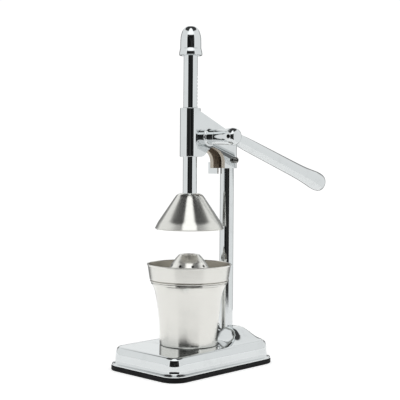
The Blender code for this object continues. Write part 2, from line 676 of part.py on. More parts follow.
def build_cone():
    rod_axis = along_z(0, ROD_Y)
    rim = CONE_RIM_Z
    outer = [(CONE_BORE_R, CONE_TOP_Z), (10.6 * MM, CONE_TOP_Z), (13.2 * MM, CONE_TOP_Z - 1.2 * MM),
             (15.0 * MM, CONE_TOP_Z - 3.4 * MM), (33.4 * MM, rim + 8.1 * MM),
             (34.2 * MM, rim + 6.8 * MM), (CONE_RIM_R, rim)]
    inner = offset_profile(outer, -CONE_WALL)
    inner[0] = (CONE_BORE_R, CONE_TOP_Z - CONE_WALL)
    inner[-1] = (CONE_RIM_R - CONE_WALL, rim)
    turned("press_cone", outer + inner[::-1], rod_axis, LARGE, satin_steel("press_cone"))
    washer_top = CONE_TOP_Z - CONE_WALL - GAP
    washer_low = washer_top - 1.2 * MM
    turned("cone_washer", [(CONE_BORE_R, washer_low), (8.5 * MM, washer_low), (8.5 * MM, washer_top),
                           (CONE_BORE_R, washer_top)], rod_axis, SMALL, steel("cone_washer"))
    head_top = washer_low - GAP
    head_low = head_top - 3.2 * MM
    screw_top = CONE_TOP_Z + 13 * MM
    turned("cone_screw",
           [(0.0, head_low + 1.6 * MM), (2.0 * MM, head_low + 1.6 * MM), (2.0 * MM, head_low),
            (4.6 * MM, head_low), (5.4 * MM, head_low + 0.8 * MM), (5.4 * MM, head_top),
            (3.0 * MM, head_top), (3.0 * MM, screw_top), (0.0, screw_top)],
           rod_axis, SMALL, steel("cone_screw"))


# ---------------------------------------------------------------- cup and strainer

def build_cup():
    foot = CUP_FOOT_Z
    rim = CUP_RIM_Z
    base = foot + 1.2 * MM
    tall = rim - foot
    # Radius, and share of the cup's height
    side = ((32.6, 0.0), (33.1, 0.2882), (34.4, 0.4899), (36.0, 0.6844), (38.4, 0.8573),
            (41.2, 0.9539))
    wall = [(radius * MM, foot + share * tall) for radius, share in side]
    outer = [(0.0, base), (31.0 * MM, base), (31.4 * MM, foot)] + wall
    outer += [(CUP_RIM_R, rim - 2.4 * MM), (CUP_RIM_R, rim - 0.6 * MM), (CUP_RIM_R - 0.6 * MM, rim)]
    inner = [(CUP_RIM_R - 1.6 * MM, rim)]
    inner += [(radius - CUP_WALL, height) for radius, height in wall[:0:-1]]
    inner += [(31.5 * MM, base + 2.5 * MM), (30.4 * MM, base + CUP_WALL), (0.0, base + CUP_WALL)]
    turned("juice_cup", outer + inner, along_z(0, ROD_Y), LARGE, satin_steel("juice_cup"))


def build_strainer():
    rim = STRAINER_RIM_Z
    seat = CUP_RIM_Z + GAP
    floor = seat - 3.6 * MM
    wall = STRAINER_WALL
    under = [(0.0, rim + 4.6 * MM), (8.7 * MM, rim + 4.6 * MM), (9.1 * MM, rim + 8.6 * MM),
             (10.5 * MM, rim + 9.3 * MM), (13.7 * MM, rim + 6.1 * MM), (17.3 * MM, rim + 1.5 * MM),
             (21.3 * MM, rim - 4.9 * MM), (24.6 * MM, rim - 9.4 * MM), (28.0 * MM, rim - 15.6 * MM),
             (30.2 * MM, floor), (BOWL_R - 1.5 * MM, floor), (BOWL_R, floor + 1.6 * MM),
             (BOWL_R + 1.4 * MM, seat - 1.0 * MM), (BOWL_R + 2.2 * MM, seat), (43.3 * MM, seat),
             (43.6 * MM, seat + 0.8 * MM), (42.9 * MM, seat + 1.9 * MM),
             (44.1 * MM, seat + 2.6 * MM), (46.5 * MM, rim - 1.6 * MM),
             (STRAINER_RIM_R, rim - 0.9 * MM), (STRAINER_RIM_R, rim - 0.2 * MM),
             (STRAINER_RIM_R - 0.4 * MM, rim)]
    over = [(45.7 * MM, rim), (45.3 * MM, rim - 0.9 * MM), (42.6 * MM, seat + 3.6 * MM),
            (41.4 * MM, seat + 1.6 * MM), (BOWL_R + 0.6 * MM, seat + 0.4 * MM),
            (BOWL_R - 1.3 * MM, floor + 1.5 * MM), (BOWL_R - 2.2 * MM, floor + wall),
            (DOME_FOOT_R, floor + wall), (29.2 * MM, rim - 15.2 * MM), (25.7 * MM, rim - 8.8 * MM),
            (22.3 * MM, rim - 4.3 * MM), (18.2 * MM, rim + 2.2 * MM), (14.6 * MM, rim + 6.8 * MM),
            (11.0 * MM, rim + 10.5 * MM), (9.0 * MM, rim + 10.5 * MM), (7.8 * MM, rim + 9.2 * MM),
            (7.5 * MM, rim + 5.8 * MM), (0.0, rim + 5.8 * MM)]
    strainer = turned("strainer", under + over, along_z(0, ROD_Y), LARGE, satin_steel("strainer"))
    for index in range(DOME_HOLES):
        angle = math.tau * index / DOME_HOLES + DOME_HOLE_PHASE
        drill = turned("cut_dome_hole_%d" % index,
                       rod_profile(DOME_HOLE_R, -5 * MM, 5 * MM), along_z(0, 0), 8)
        turn = Matrix.Rotation(angle, 4, "Z") @ Matrix.Rotation(DOME_HOLE_TILT, 4, "Y")
        centre = Vector((DOME_HOLE_RING * math.cos(angle), ROD_Y + DOME_HOLE_RING * math.sin(angle),
                         rim - 1.6 * MM))
        drill.matrix_world = Matrix.Translation(centre) @ turn
        cut(strainer, drill)
    ring = (DOME_FOOT_R + BOWL_R - 2.2 * MM) / 2
    for index in range(FLOOR_HOLES):
        angle = math.tau * (index + 0.37) / FLOOR_HOLES
        drill = turned("cut_floor_hole_%d" % index,
                       rod_profile(FLOOR_HOLE_R, floor - 2 * MM, floor + 4.3 * MM),
                       along_z(ring * math.cos(angle), ROD_Y + ring * math.sin(angle)), 6)
        cut(strainer, drill)


def main():
    clear_scene()
    build_base_mat()
    build_base_shell()
    build_column()
    build_head_bracket()
    build_bracket_fasteners()
    build_pinion()
    build_lever()
    build_press_rod()
    build_knob()
    build_cone()
    build_cup()
    build_strainer()


main()
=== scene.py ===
"""Looks of the rack-and-pinion citrus press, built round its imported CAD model.

Everything is in metres in the model's own frame: +Z up, the cup side faces -Y, the lever is on +X.
"""
import math

import bmesh
import bpy
from bpy.props import FloatProperty, FloatVectorProperty, IntProperty, PointerProperty
from mathutils import Matrix, Vector

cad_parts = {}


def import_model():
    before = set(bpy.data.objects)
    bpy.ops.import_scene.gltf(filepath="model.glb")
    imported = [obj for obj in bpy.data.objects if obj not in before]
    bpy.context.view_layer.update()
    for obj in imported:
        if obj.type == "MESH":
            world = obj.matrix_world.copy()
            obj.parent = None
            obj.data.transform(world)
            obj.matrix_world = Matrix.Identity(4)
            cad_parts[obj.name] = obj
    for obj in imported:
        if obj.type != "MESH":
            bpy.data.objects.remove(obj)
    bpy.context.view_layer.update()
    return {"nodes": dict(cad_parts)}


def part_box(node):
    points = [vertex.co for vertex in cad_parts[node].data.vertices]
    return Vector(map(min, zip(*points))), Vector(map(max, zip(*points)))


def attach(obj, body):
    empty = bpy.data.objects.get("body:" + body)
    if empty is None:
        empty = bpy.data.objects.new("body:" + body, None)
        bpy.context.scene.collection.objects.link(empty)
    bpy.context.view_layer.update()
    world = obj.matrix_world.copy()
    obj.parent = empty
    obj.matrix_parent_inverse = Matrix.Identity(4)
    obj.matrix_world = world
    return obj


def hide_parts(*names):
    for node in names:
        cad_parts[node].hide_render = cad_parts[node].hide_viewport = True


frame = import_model()

bl_info = {
    "name": "Citrus Press Looks",
    "version": (1, 0, 0),
    "blender": (4, 5, 0),
    "location": "View3D > Sidebar > Citrus Press",
    "description": "Detailed pieces, finishes and a studio for a lever citrus press",
    "category": "Add Mesh",
}

MM = 0.001
GAP = 0.3 * MM              # clearance between a piece and the one that it fits


def middle_of(node):
    low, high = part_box(node)
    return (low + high) / 2


def lowest(node):
    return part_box(node)[0]


def highest(node):
    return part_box(node)[1]


ROD_Y = middle_of("juice_cup").y
COLUMN_Y = middle_of("column_tube").y
COLUMN_SPACING = COLUMN_Y - ROD_Y
SHAFT_Y = middle_of("pinion_shaft").y
SHAFT_Z = middle_of("pinion_shaft").z
MAT_TOP = highest("rubber_base_mat").z
BASE_LOW = lowest("base_shell").z
ROOF_SLOPE = 0.4362

# ---------------------------------------------------------------- profiles


def mm_outline(points, height=0.0, radius=0.0):
    """Outline points given in millimetres from a radius and a height."""
    return [(radius + out * MM, height + up * MM) for out, up in points]


def box_outline(left, right, low, high):
    return [(left, low), (left, high), (right, high), (right, low)]


def softened(points, radius, steps=4):
    """Rounds the inner corners of an open outline, with a support point either side of each arc."""
    rounded = [Vector(points[0])]
    for before, corner, after in zip(points, points[1:], points[2:]):
        corner = Vector(corner)
        back = Vector(before) - corner
        ahead = Vector(after) - corner
        if back.length < 1e-7 or ahead.length < 1e-7:
            continue
        reach = min(radius, back.length * 0.38, ahead.length * 0.38)
        start = corner + back.normalized() * reach
        end = corner + ahead.normalized() * reach
        rounded.append(corner + back.normalized() * reach * 1.2)
        for step in range(steps + 1):
            share = step / steps
            rounded.append(start.lerp(corner, share).lerp(corner.lerp(end, share), share))
        rounded.append(corner + ahead.normalized() * reach * 1.2)
    rounded.append(Vector(points[-1]))
    return [tuple(point) for point in rounded]


def flowing(points, steps=6):
    """Points along a smooth curve through the given ones."""
    known = [Vector(point) for point in points]
    known = [known[0] * 2 - known[1]] + known + [known[-1] * 2 - known[-2]]
    curve = []
    for index in range(1, len(known) - 2):
        a, b, c, d = known[index - 1:index + 3]
        for step in range(steps):
            t = step / steps
            curve.append((b * 2 + (c - a) * t + (a * 2 - b * 5 + c * 4 - d) * t * t
                          + (b * 3 - a - c * 3 + d) * t * t * t) / 2)
    curve.append(known[-2])
    return [tuple(point) for point in curve]


def moved_in(profile, wall):
    """The other side of a sheet: a profile moved along its normals by the wall."""
    inner = []
    for index, (radius, height) in enumerate(profile):
        before = Vector(profile[max(0, index - 1)])
        after = Vector(profile[min(len(profile) - 1, index + 1)])
        run = (after - before).normalized()
        inner.append((max(0.0, radius - run.y * wall), height + run.x * wall))
    return inner


def smooth_step(value, low, high):
    t = min(1.0, max(0.0, (value - low) / (high - low)))
    return t * t * (3.0 - 2.0 * t)



# ---------------------------------------------------------------- meshes


def shaded(mesh, angle=34):
    mesh.shade_smooth()
    mesh.set_sharp_from_angle(angle=math.radians(angle))


def make_piece(name, points, faces, angle=34):
    """A mesh object at the origin whose faces point outwards."""
    mesh = bpy.data.meshes.new(name)
    mesh.from_pydata([Vector(point) for point in points], [], faces)
    work = bmesh.new()
    work.from_mesh(mesh)
    bmesh.ops.recalc_face_normals(work, faces=work.faces)
    work.to_mesh(mesh)
    work.free()
    shaded(mesh, angle)
    item = bpy.data.objects.new(name, mesh)
    bpy.context.scene.collection.objects.link(item)
    return item


def along_z(x, y):
    return lambda radius, angle, height: (
        x + radius * math.cos(angle), y + radius * math.sin(angle), height)


def along_x(y, z):
    return lambda radius, angle, height: (
        height, y + radius * math.cos(angle), z + radius * math.sin(angle))


def along_y(x, z):
    return lambda radius, angle, height: (
        x + radius * math.cos(angle), height, z + radius * math.sin(angle))


def lathe(name, profile, place, segments=96, angle=34):
    """A turned solid. A profile that starts and ends on the axis closes there, any other is a ring."""
    solid = profile[0][0] == 0.0 and profile[-1][0] == 0.0
    rows = profile[1:-1] if solid else profile
    points = [place(radius, math.tau * step / segments, height)
              for radius, height in rows for step in range(segments)]
    faces = []
    for row in range(len(rows) - 1 if solid else len(rows)):
        low = row * segments
        high = (row + 1) % len(rows) * segments
        for step in range(segments):
            after = (step + 1) % segments
            faces.append((low + step, low + after, high + after, high + step))
    if solid:
        points.append(place(0.0, 0.0, profile[0][1]))
        points.append(place(0.0, 0.0, profile[-1][1]))
        first, last = len(points) - 2, len(points) - 1
        top = (len(rows) - 1) * segments
        for step in range(segments):
            after = (step + 1) % segments
            faces.append((first, after, step))
            faces.append((last, top + step, top + after))
    return make_piece(name, points, faces, angle)


def loft(name, rings, angle=34):
    """A closed solid through rings of equal point count, with a middle point at each end."""
    count = len(rings[0])
    points = [point for ring in rings for point in ring]
    faces = []
    for row in range(len(rings) - 1):
        low = row * count
        for step in range(count):
            after = (step + 1) % count
            faces.append((low + step, low + after, low + count + after, low + count + step))
    for start, ring in ((0, rings[0]), ((len(rings) - 1) * count, rings[-1])):
        points.append(sum((Vector(point) for point in ring), Vector()) / count)
        centre = len(points) - 1
        for step in range(count):
            faces.append((start + step, start + (step + 1) % count, centre))
    return make_piece(name, points, faces, angle)


def drum(name, radius, low, high, place, segments):
    """A plain cylinder."""
    return lathe(name, [(0.0, low), (radius, low), (radius, high), (0.0, high)], place, segments)


def prism(name, outline, low, high, plane="YZ"):
    """Extrudes an outline: a (y, z) outline along X, or an (x, y) outline along Z."""
    count = len(outline)
    if plane == "YZ":
        points = [(side, a, b) for side in (low, high) for a, b in outline]
    else:
        points = [(a, b, side) for side in (low, high) for a, b in outline]
    faces = [tuple(range(count)), tuple(range(count, 2 * count))]
    for step in range(count):
        after = (step + 1) % count
        faces.append((step, after, count + after, count + step))
    return make_piece(name, points, faces)


def bake(item):
    """Turns an object and its modifiers into a plain mesh."""
    graph = bpy.context.evaluated_depsgraph_get()
    mesh = bpy.data.meshes.new_from_object(item.evaluated_get(graph), depsgraph=graph)
    item.modifiers.clear()
    item.data = mesh
    mesh.name = item.name
    return item


def remove(*items):
    for item in items:
        bpy.data.objects.remove(item, do_unlink=True)


def combine(item, tool, operation="DIFFERENCE", angle=34):
    """Applies a Boolean and removes its tool."""
    modifier = item.modifiers.new("boolean", "BOOLEAN")
    modifier.operation = operation
    modifier.object = tool
    modifier.solver = "EXACT"
    bake(item)
    remove(tool)
    shaded(item.data, angle)
    return item


def bevelled(item, width, segments=3, limit=40):
    modifier = item.modifiers.new("edges", "BEVEL")
    modifier.width = width
    modifier.segments = segments
    modifier.limit_method = "ANGLE"
    modifier.angle_limit = math.radians(limit)
    bake(item)
    shaded(item.data)
    return item


def bevelled_where(item, width, segments, chosen):
    """Rounds the sharp edges that chosen accepts."""
    work = bmesh.new()
    work.from_mesh(item.data)
    edges = [edge for edge in work.edges if edge.calc_face_angle(0.0) > 0.6 and chosen(edge)]
    bmesh.ops.bevel(work, geom=edges, offset=width, segments=segments, profile=0.5,
                    affect="EDGES", clamp_overlap=True)
    work.to_mesh(item.data)
    work.free()
    shaded(item.data)
    return item


def weighted(item):
    """Lets large faces set the shading, so flats stay flat next to rounded edges."""
    modifier = item.modifiers.new("shading", "WEIGHTED_NORMAL")
    modifier.keep_sharp = True
    modifier.weight = 80
    return bake(item)


def joined(name, items):
    """One object from several closed shells."""
    work = bmesh.new()
    for item in items:
        work.from_mesh(item.data)
    mesh = bpy.data.meshes.new(name)
    work.to_mesh(mesh)
    work.free()
    remove(*items)
    piece = bpy.data.objects.new(name, mesh)
    bpy.context.scene.collection.objects.link(piece)
    shaded(mesh)
    return piece


def finished(piece, node, body, material, *more):
    """Gives a piece its materials and body, and hides the CAD node that it replaces."""
    if len(piece.data.materials) == 0:
        piece.data.materials.append(material)
    else:
        piece.data.materials[0] = material
    for extra in more:
        piece.data.materials.append(extra)
    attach(piece, body)
    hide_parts(node)
    return piece


# ---------------------------------------------------------------- node helpers


def feed(tree, socket, value):
    """Links a socket to another socket, or sets its value."""
    if isinstance(value, bpy.types.NodeSocket):
        tree.links.new(value, socket)
    else:
        socket.default_value = value


def feed_all(tree, sockets, values):
    """Feeds sockets by name, with an underscore for a space."""
    for label, value in values.items():
        feed(tree, sockets[label.replace("_", " ")], value)


def add_node(tree, kind, settings=None, **inputs):
    """A node whose settings are made first, then its inputs linked or set by name."""
    node = tree.nodes.new(kind)
    for name, value in (settings or {}).items():
        setattr(node, name, value)
    feed_all(tree, node.inputs, inputs)
    return node


def maths(tree, operation, first, second=None):
    node = add_node(tree, "ShaderNodeMath", {"operation": operation})
    feed(tree, node.inputs[0], first)
    if second is not None:
        feed(tree, node.inputs[1], second)
    return node.outputs[0]


def tree_named(name, builder):
    return bpy.data.node_groups.get(name) or builder()


# ---------------------------------------------------------------- geometry node trees


def new_tree(name, inputs):
    """A modifier tree: its given sockets, and the socket before Realize and Set Material."""
    tree = bpy.data.node_groups.new(name, "GeometryNodeTree")
    tree.is_modifier = True
    for label, kind in (("Geometry", "Geometry"), *inputs, ("Material", "Material")):
        tree.interface.new_socket(label, in_out="INPUT", socket_type="NodeSocket" + kind)
    tree.interface.new_socket("Geometry", in_out="OUTPUT", socket_type="NodeSocketGeometry")
    given = tree.nodes.new("NodeGroupInput").outputs
    realize = tree.nodes.new("GeometryNodeRealizeInstances")
    paint = add_node(tree, "GeometryNodeSetMaterial", Geometry=realize.outputs[0],
                     Material=given["Material"])
    tree.links.new(paint.outputs[0], tree.nodes.new("NodeGroupOutput").inputs[0])
    return tree, given, realize.inputs[0]


def cutting_tree(name, inputs, build_tools):
    """A tree that cuts the tools that build_tools makes out of the incoming mesh."""
    tree, given, result = new_tree(name, inputs)
    tools = add_node(tree, "GeometryNodeRealizeInstances", Geometry=build_tools(tree, given))
    cut = add_node(tree, "GeometryNodeMeshBoolean", {"operation": "DIFFERENCE", "solver": "EXACT"},
                   Mesh_1=given["Geometry"], Mesh_2=tools.outputs[0])
    tree.links.new(cut.outputs["Mesh"], result)
    return tree


def drilled_ring(tree, given):
    """Drills on a ring, each leaning outwards by Tilt."""
    circle = add_node(tree, "GeometryNodeMeshCircle", Vertices=given["Holes"],
                      Radius=given["Ring Radius"])
    drill = add_node(tree, "GeometryNodeMeshCylinder", Vertices=28, Radius=given["Hole Radius"],
                     Depth=given["Depth"])
    index = tree.nodes.new("GeometryNodeInputIndex").outputs[0]
    turn = maths(tree, "MULTIPLY", maths(tree, "DIVIDE", index, given["Holes"]), math.tau)
    rotation = add_node(tree, "ShaderNodeCombineXYZ", Y=given["Tilt"], Z=turn)
    place = add_node(tree, "GeometryNodeInstanceOnPoints", Points=circle.outputs[0],
                     Instance=drill.outputs[0], Rotation=rotation.outputs[0])
    phase = add_node(tree, "ShaderNodeCombineXYZ", Z=given["Phase"])
    return add_node(tree, "GeometryNodeTransform", Geometry=place.outputs[0],
                    Rotation=phase.outputs[0], Translation=given["Centre"]).outputs[0]


def stacked_spaces(tree, given):
    """Copies of one tooth space up a line."""
    step = add_node(tree, "ShaderNodeCombineXYZ", Z=given["Pitch"])
    line = add_node(tree, "GeometryNodeMeshLine", Count=given["Spaces"], Offset=step.outputs[0],
                    Start_Location=given["First Space"])
    source = add_node(tree, "GeometryNodeObjectInfo", Object=given["Space Shape"])
    return add_node(tree, "GeometryNodeInstanceOnPoints", Points=line.outputs[0],
                    Instance=source.outputs["Geometry"]).outputs[0]


def fastener_tree():
    """Puts a modelled fastener at a place, turned onto its axis."""
    tree, given, result = new_tree("Placed Fastener", (
        ("Fastener", "Object"), ("Place", "Vector"), ("Turn", "Rotation")))
    point = add_node(tree, "GeometryNodePoints", Position=given["Place"])
    source = add_node(tree, "GeometryNodeObjectInfo", Object=given["Fastener"])
    place = add_node(tree, "GeometryNodeInstanceOnPoints", Points=point.outputs[0],
                     Instance=source.outputs["Geometry"], Rotation=given["Turn"])
    tree.links.new(place.outputs[0], result)
    return tree


def perforation_tree():
    return cutting_tree("Perforated Ring", (
        ("Holes", "Int"), ("Ring Radius", "Float"), ("Hole Radius", "Float"), ("Depth", "Float"),
        ("Tilt", "Float"), ("Phase", "Float"), ("Centre", "Vector")), drilled_ring)


def rack_tree():
    return cutting_tree("Rack Teeth", (
        ("Spaces", "Int"), ("Pitch", "Float"), ("First Space", "Vector"),
        ("Space Shape", "Object")), stacked_spaces)


def run_tree(item, tree, values):
    """Adds the tree to an object with its inputs set, and bakes it."""
    modifier = item.modifiers.new(tree.name, "NODES")
    modifier.node_group = tree
    for socket in tree.interface.items_tree:
        if socket.item_type == "SOCKET" and socket.in_out == "INPUT" and socket.name in values:
            modifier[socket.identifier] = values[socket.name]
    bake(item)


# ---------------------------------------------------------------- shader node groups


def shader_group(name, inputs, outputs):
    """A group with a Vector input, number inputs with their defaults, and number outputs."""
    group = bpy.data.node_groups.new(name, "ShaderNodeTree")
    group.interface.new_socket("Vector", in_out="INPUT", socket_type="NodeSocketVector")
    for label, value in inputs:
        socket = group.interface.new_socket(label, in_out="INPUT", socket_type="NodeSocketFloat")
        socket.default_value = value
    for label in outputs:
        group.interface.new_socket(label, in_out="OUTPUT", socket_type="NodeSocketFloat")
    return (group, group.nodes.new("NodeGroupInput").outputs,
            group.nodes.new("NodeGroupOutput").inputs)


def noise(tree, vector, scale, detail=3.0, roughness=0.5, distortion=0.0):
    return add_node(tree, "ShaderNodeTexNoise", Vector=vector, Scale=scale, Detail=detail,
                    Roughness=roughness, Distortion=distortion).outputs["Fac"]


def ranged(tree, value, low, high, to_low=0.0, to_high=1.0, kind="SMOOTHSTEP"):
    return add_node(tree, "ShaderNodeMapRange", {"interpolation_type": kind}, Value=value,
                    From_Min=low, From_Max=high, To_Min=to_low, To_Max=to_high).outputs["Result"]


def polish_group():
    """Hand marks and a faint polishing swell on bright metal."""
    group, given, result = shader_group("Polish Marks", (
        ("Mark Scale", 60.0), ("Clean Roughness", 0.04), ("Marked Roughness", 0.12)),
        ("Roughness", "Height", "Marks"))
    vector = given["Vector"]
    marks = ranged(group, noise(group, vector, given["Mark Scale"], 4.0, 0.55, 0.4), 0.5, 0.78)
    fine = maths(group, "MULTIPLY", noise(group, vector, 900.0, 2.0), 0.004)
    feed_all(group, result, {
        "Roughness": ranged(group, marks, 0.0, 1.0, given["Clean Roughness"],
                            given["Marked Roughness"], "LINEAR"),
        "Height": maths(group, "ADD", noise(group, vector, 45.0, 1.0), fine),
        "Marks": marks})
    return group


def spun_group():
    """Fine rings left by spinning and brushing sheet steel on a lathe, about the piece's Z axis."""
    group, given, result = shader_group("Spun Grain", (("Rings", 2600.0), ("Soft Marks", 40.0)),
                                        ("Grain", "Blotch"))
    x, y, z = add_node(group, "ShaderNodeSeparateXYZ", Vector=given["Vector"]).outputs
    radius = maths(group, "SQRT", maths(group, "ADD", maths(group, "MULTIPLY", x, x),
                                        maths(group, "MULTIPLY", y, y)))
    across = maths(group, "MULTIPLY", maths(group, "ADD", radius, z), given["Rings"])
    along = maths(group, "MULTIPLY", maths(group, "ARCTAN2", y, x), 3.0)
    rings = add_node(group, "ShaderNodeCombineXYZ", X=across, Y=along).outputs[0]
    broad_at = add_node(group, "ShaderNodeVectorMath", {"operation": "MULTIPLY"})
    feed(group, broad_at.inputs[0], rings)
    feed(group, broad_at.inputs[1], (0.12, 0.5, 1.0))
    fine = maths(group, "MULTIPLY", noise(group, rings, 1.0, 3.0, 0.7), 0.65)
    broad = maths(group, "MULTIPLY", noise(group, broad_at.outputs[0], 1.0, 2.0), 0.35)
    feed_all(group, result, {
        "Grain": maths(group, "ADD", fine, broad),
        "Blotch": noise(group, given["Vector"], given["Soft Marks"], 3.0, 0.5, 0.3)})
    return group


def speckle_group():
    """Pits, lumps and patches of a rough surface."""
    group, given, result = shader_group("Rough Surface", (("Grain Scale", 700.0),
                                                          ("Patch Scale", 60.0)),
                                        ("Height", "Patches"))
    vector = given["Vector"]
    cells = add_node(group, "ShaderNodeTexVoronoi", Vector=vector, Scale=given["Grain Scale"])
    pits = maths(group, "MULTIPLY", ranged(group, cells.outputs["Distance"], 0.0, 0.35), 0.4)
    patches = noise(group, vector, given["Patch Scale"], 3.0, 0.5, 0.5)
    feed_all(group, result, {
        "Height": maths(group, "ADD", noise(group, vector, given["Grain Scale"], 4.0, 0.6), pits),
        "Patches": ranged(group, patches, 0.35, 0.7)})
    return group


# ---------------------------------------------------------------- materials


def toned(colour, share):
    return tuple(value * share for value in colour)


def new_material(name, group, centre=(0.0, 0.0, 0.0), **values):
    """A material with Object coordinates moved to centre and read by the group."""
    material = bpy.data.materials.new(name)
    material.use_nodes = True
    tree = material.node_tree
    coordinates = tree.nodes.new("ShaderNodeTexCoord")
    mapping = add_node(tree, "ShaderNodeMapping", Vector=coordinates.outputs["Object"],
                       Location=[-value for value in centre])
    effect = add_node(tree, "ShaderNodeGroup", {"node_tree": group}, Vector=mapping.outputs[0],
                      **values)
    return material, tree, effect.outputs


def dress(tree, **values):
    """Feeds the material's shader by input name."""
    feed_all(tree, tree.nodes["Principled BSDF"].inputs, values)


def mixed_colour(tree, factor, first, second):
    return add_node(tree, "ShaderNodeMix", {"data_type": "RGBA"}, Factor=factor, A=(*first, 1.0),
                    B=(*second, 1.0)).outputs["Result"]


def bump(tree, height, strength, distance):
    return add_node(tree, "ShaderNodeBump", Strength=strength, Distance=distance,
                    Height=height).outputs[0]


def chrome_material(name, clean=0.035, marked=0.10):
    """Polished chrome plate."""
    material, tree, effect = new_material(name, tree_named("Polish Marks", polish_group),
                                          Clean_Roughness=clean, Marked_Roughness=marked)
    bright = tuple(colours().chrome)
    dress(tree, Base_Color=mixed_colour(tree, effect["Marks"], bright, toned(bright, 0.93)),
          Roughness=effect["Roughness"], Metallic=1.0,
          Normal=bump(tree, effect["Height"], 0.5, 0.03 * MM))
    return material


def spun_steel(name, colour, roughness, anisotropic, contrast=0.97):
    """Satin sheet steel with its grain running round the rod's axis."""
    material, tree, effect = new_material(name, tree_named("Spun Grain", spun_group),
                                          (0.0, ROD_Y, 0.0))
    grain = effect["Grain"]
    tint = ranged(tree, grain, 0.35, 0.65)
    dull = maths(tree, "ADD", ranged(tree, effect["Blotch"], 0.3, 0.75, 0.0, 0.03),
                 ranged(tree, grain, 0.3, 0.7, roughness + 0.01, roughness - 0.01))
    tangent = add_node(tree, "ShaderNodeTangent", {"direction_type": "RADIAL", "axis": "Z"})
    dress(tree, Base_Color=mixed_colour(tree, tint, toned(colour, contrast), colour),
          Roughness=dull, Metallic=1.0, Anisotropic=anisotropic, Anisotropic_Rotation=0.25,
          Tangent=tangent.outputs[0], Normal=bump(tree, grain, 0.4, 0.004 * MM))
    return material


def rough_material(name, first, second, metallic, smooth, coarse, grain, depth):
    """A speckled surface between two colours and two roughnesses."""
    material, tree, effect = new_material(name, tree_named("Rough Surface", speckle_group),
                                          Grain_Scale=grain)
    dress(tree, Base_Color=mixed_colour(tree, effect["Patches"], first, second),
          Roughness=ranged(tree, effect["Height"], 0.3, 0.9, smooth, coarse), Metallic=metallic,
          Normal=bump(tree, effect["Height"], 0.6, depth))
    return material


# ---------------------------------------------------------------- properties


def size(name, description, default):
    return FloatProperty(name=name, description=description, default=default,
                         subtype="DISTANCE", unit="LENGTH", precision=5)


def colour(name, description, default):
    return FloatVectorProperty(name=name, description=description, default=default,
                               subtype="COLOR", size=3, min=0.0, max=1.0)


class PressSizes(bpy.types.PropertyGroup):
    """Sizes of the citrus press that can be changed."""

    rod_radius: size("Rod radius", "Radius of the press rod", 7.85 * MM)
    column_radius: size("Column radius", "Radius of the column", 8.0 * MM)
    sleeve_radius: size("Sleeve radius", "Radius of the bracket's sleeve round the rod", 11.5 * MM)
    wrap_radius: size("Wrap radius", "Radius of the bracket round the column", 11.3 * MM)
    boss_radius: size("Boss radius", "Radius of the bracket's shaft boss", 8.3 * MM)
    hub_radius: size("Hub radius", "Radius of the lever's hub", 8.5 * MM)
    cone_radius: size("Cone radius", "Radius of the press cone's rim",
                      (highest("press_cone").x - lowest("press_cone").x) / 2)
    cup_radius: size("Cup radius", "Radius of the cup's rim",
                     (highest("juice_cup").x - lowest("juice_cup").x) / 2)
    strainer_radius: size("Strainer radius", "Radius of the strainer's rim",
                          (highest("strainer").x - lowest("strainer").x) / 2)
    dome_hole_radius: size("Dome hole radius", "Radius of the holes in the strainer's dome", 1.6 * MM)
    floor_hole_radius: size("Floor hole radius", "Radius of the holes in the strainer's floor",
                            1.3 * MM)
    dome_holes: IntProperty(name="Dome holes", description="Number of holes round the dome",
                            default=9, min=3)
    floor_holes: IntProperty(name="Floor holes", description="Number of holes in the floor",
                             default=10, min=3)


class PressColours(bpy.types.PropertyGroup):
    """Colours of the citrus press that can be changed."""

    chrome: colour("Chrome", "Bright plated castings and rods", (0.665, 0.685, 0.69))
    steel: colour("Steel", "Brushed sheet steel of the cup, strainer and cone", (0.73, 0.72, 0.685))
    zinc: colour("Zinc", "Plain plated screws, washers and gear", (0.50, 0.50, 0.49))
    brass: colour("Brass", "Bearing bushes", (0.60, 0.44, 0.20))
    casting: colour("Casting", "Unplated inside of the bracket", (0.30, 0.24, 0.18))
    rubber: colour("Rubber", "Mat under the base", (0.004, 0.004, 0.0045))


def sizes():
    return bpy.context.scene.press_sizes


def colours():
    return bpy.context.scene.press_colours



# ---------------------------------------------------------------- base

CORNER_STEPS = 20
FLANGE_INSET = 0.6 * MM
MAT_CORNER = 19.2 * MM
MAT_HALF_X = highest("rubber_base_mat").x
MAT_HALF_Y = highest("rubber_base_mat").y
BASE_TOP = 25.2 * MM
HUMP_HEIGHT = 13.4 * MM
SOCKET_FLOOR = 33.0 * MM


def rounded_rectangle(half_x, half_y, corner, height):
    """One ring of points, with the same count whatever the size."""
    corners = ((1, -1, -90), (1, 1, 0), (-1, 1, 90), (-1, -1, 180))

    def corner_point(index, share):
        sign_x, sign_y, start = corners[index % 4]
        angle = math.radians(start + 90 * share)
        return Vector((sign_x * (half_x - corner) + corner * math.cos(angle),
                       sign_y * (half_y - corner) + corner * math.sin(angle), height))

    ring = []
    for index, side_steps in enumerate((30, 18, 30, 18)):
        ring += [corner_point(index, step / CORNER_STEPS) for step in range(CORNER_STEPS + 1)]
        begin, end = ring[-1], corner_point(index + 1, 0.0)
        ring += [begin.lerp(end, step / side_steps) for step in range(1, side_steps)]
    return ring


def base_height(x, y):
    """Height of the base's top: flat, with a hump under the column that curves round the cup."""
    from_cup = math.hypot(x, y - ROD_Y)
    front = smooth_step(from_cup, 40 * MM, 60 * MM) * smooth_step(y - ROD_Y, 5 * MM, 30 * MM)
    side = 1.0 - smooth_step(abs(x), 14 * MM, 50 * MM)
    back = 1.0 - smooth_step(y - ROD_Y, 69 * MM, 85 * MM)
    return BASE_TOP + HUMP_HEIGHT * front * side * back


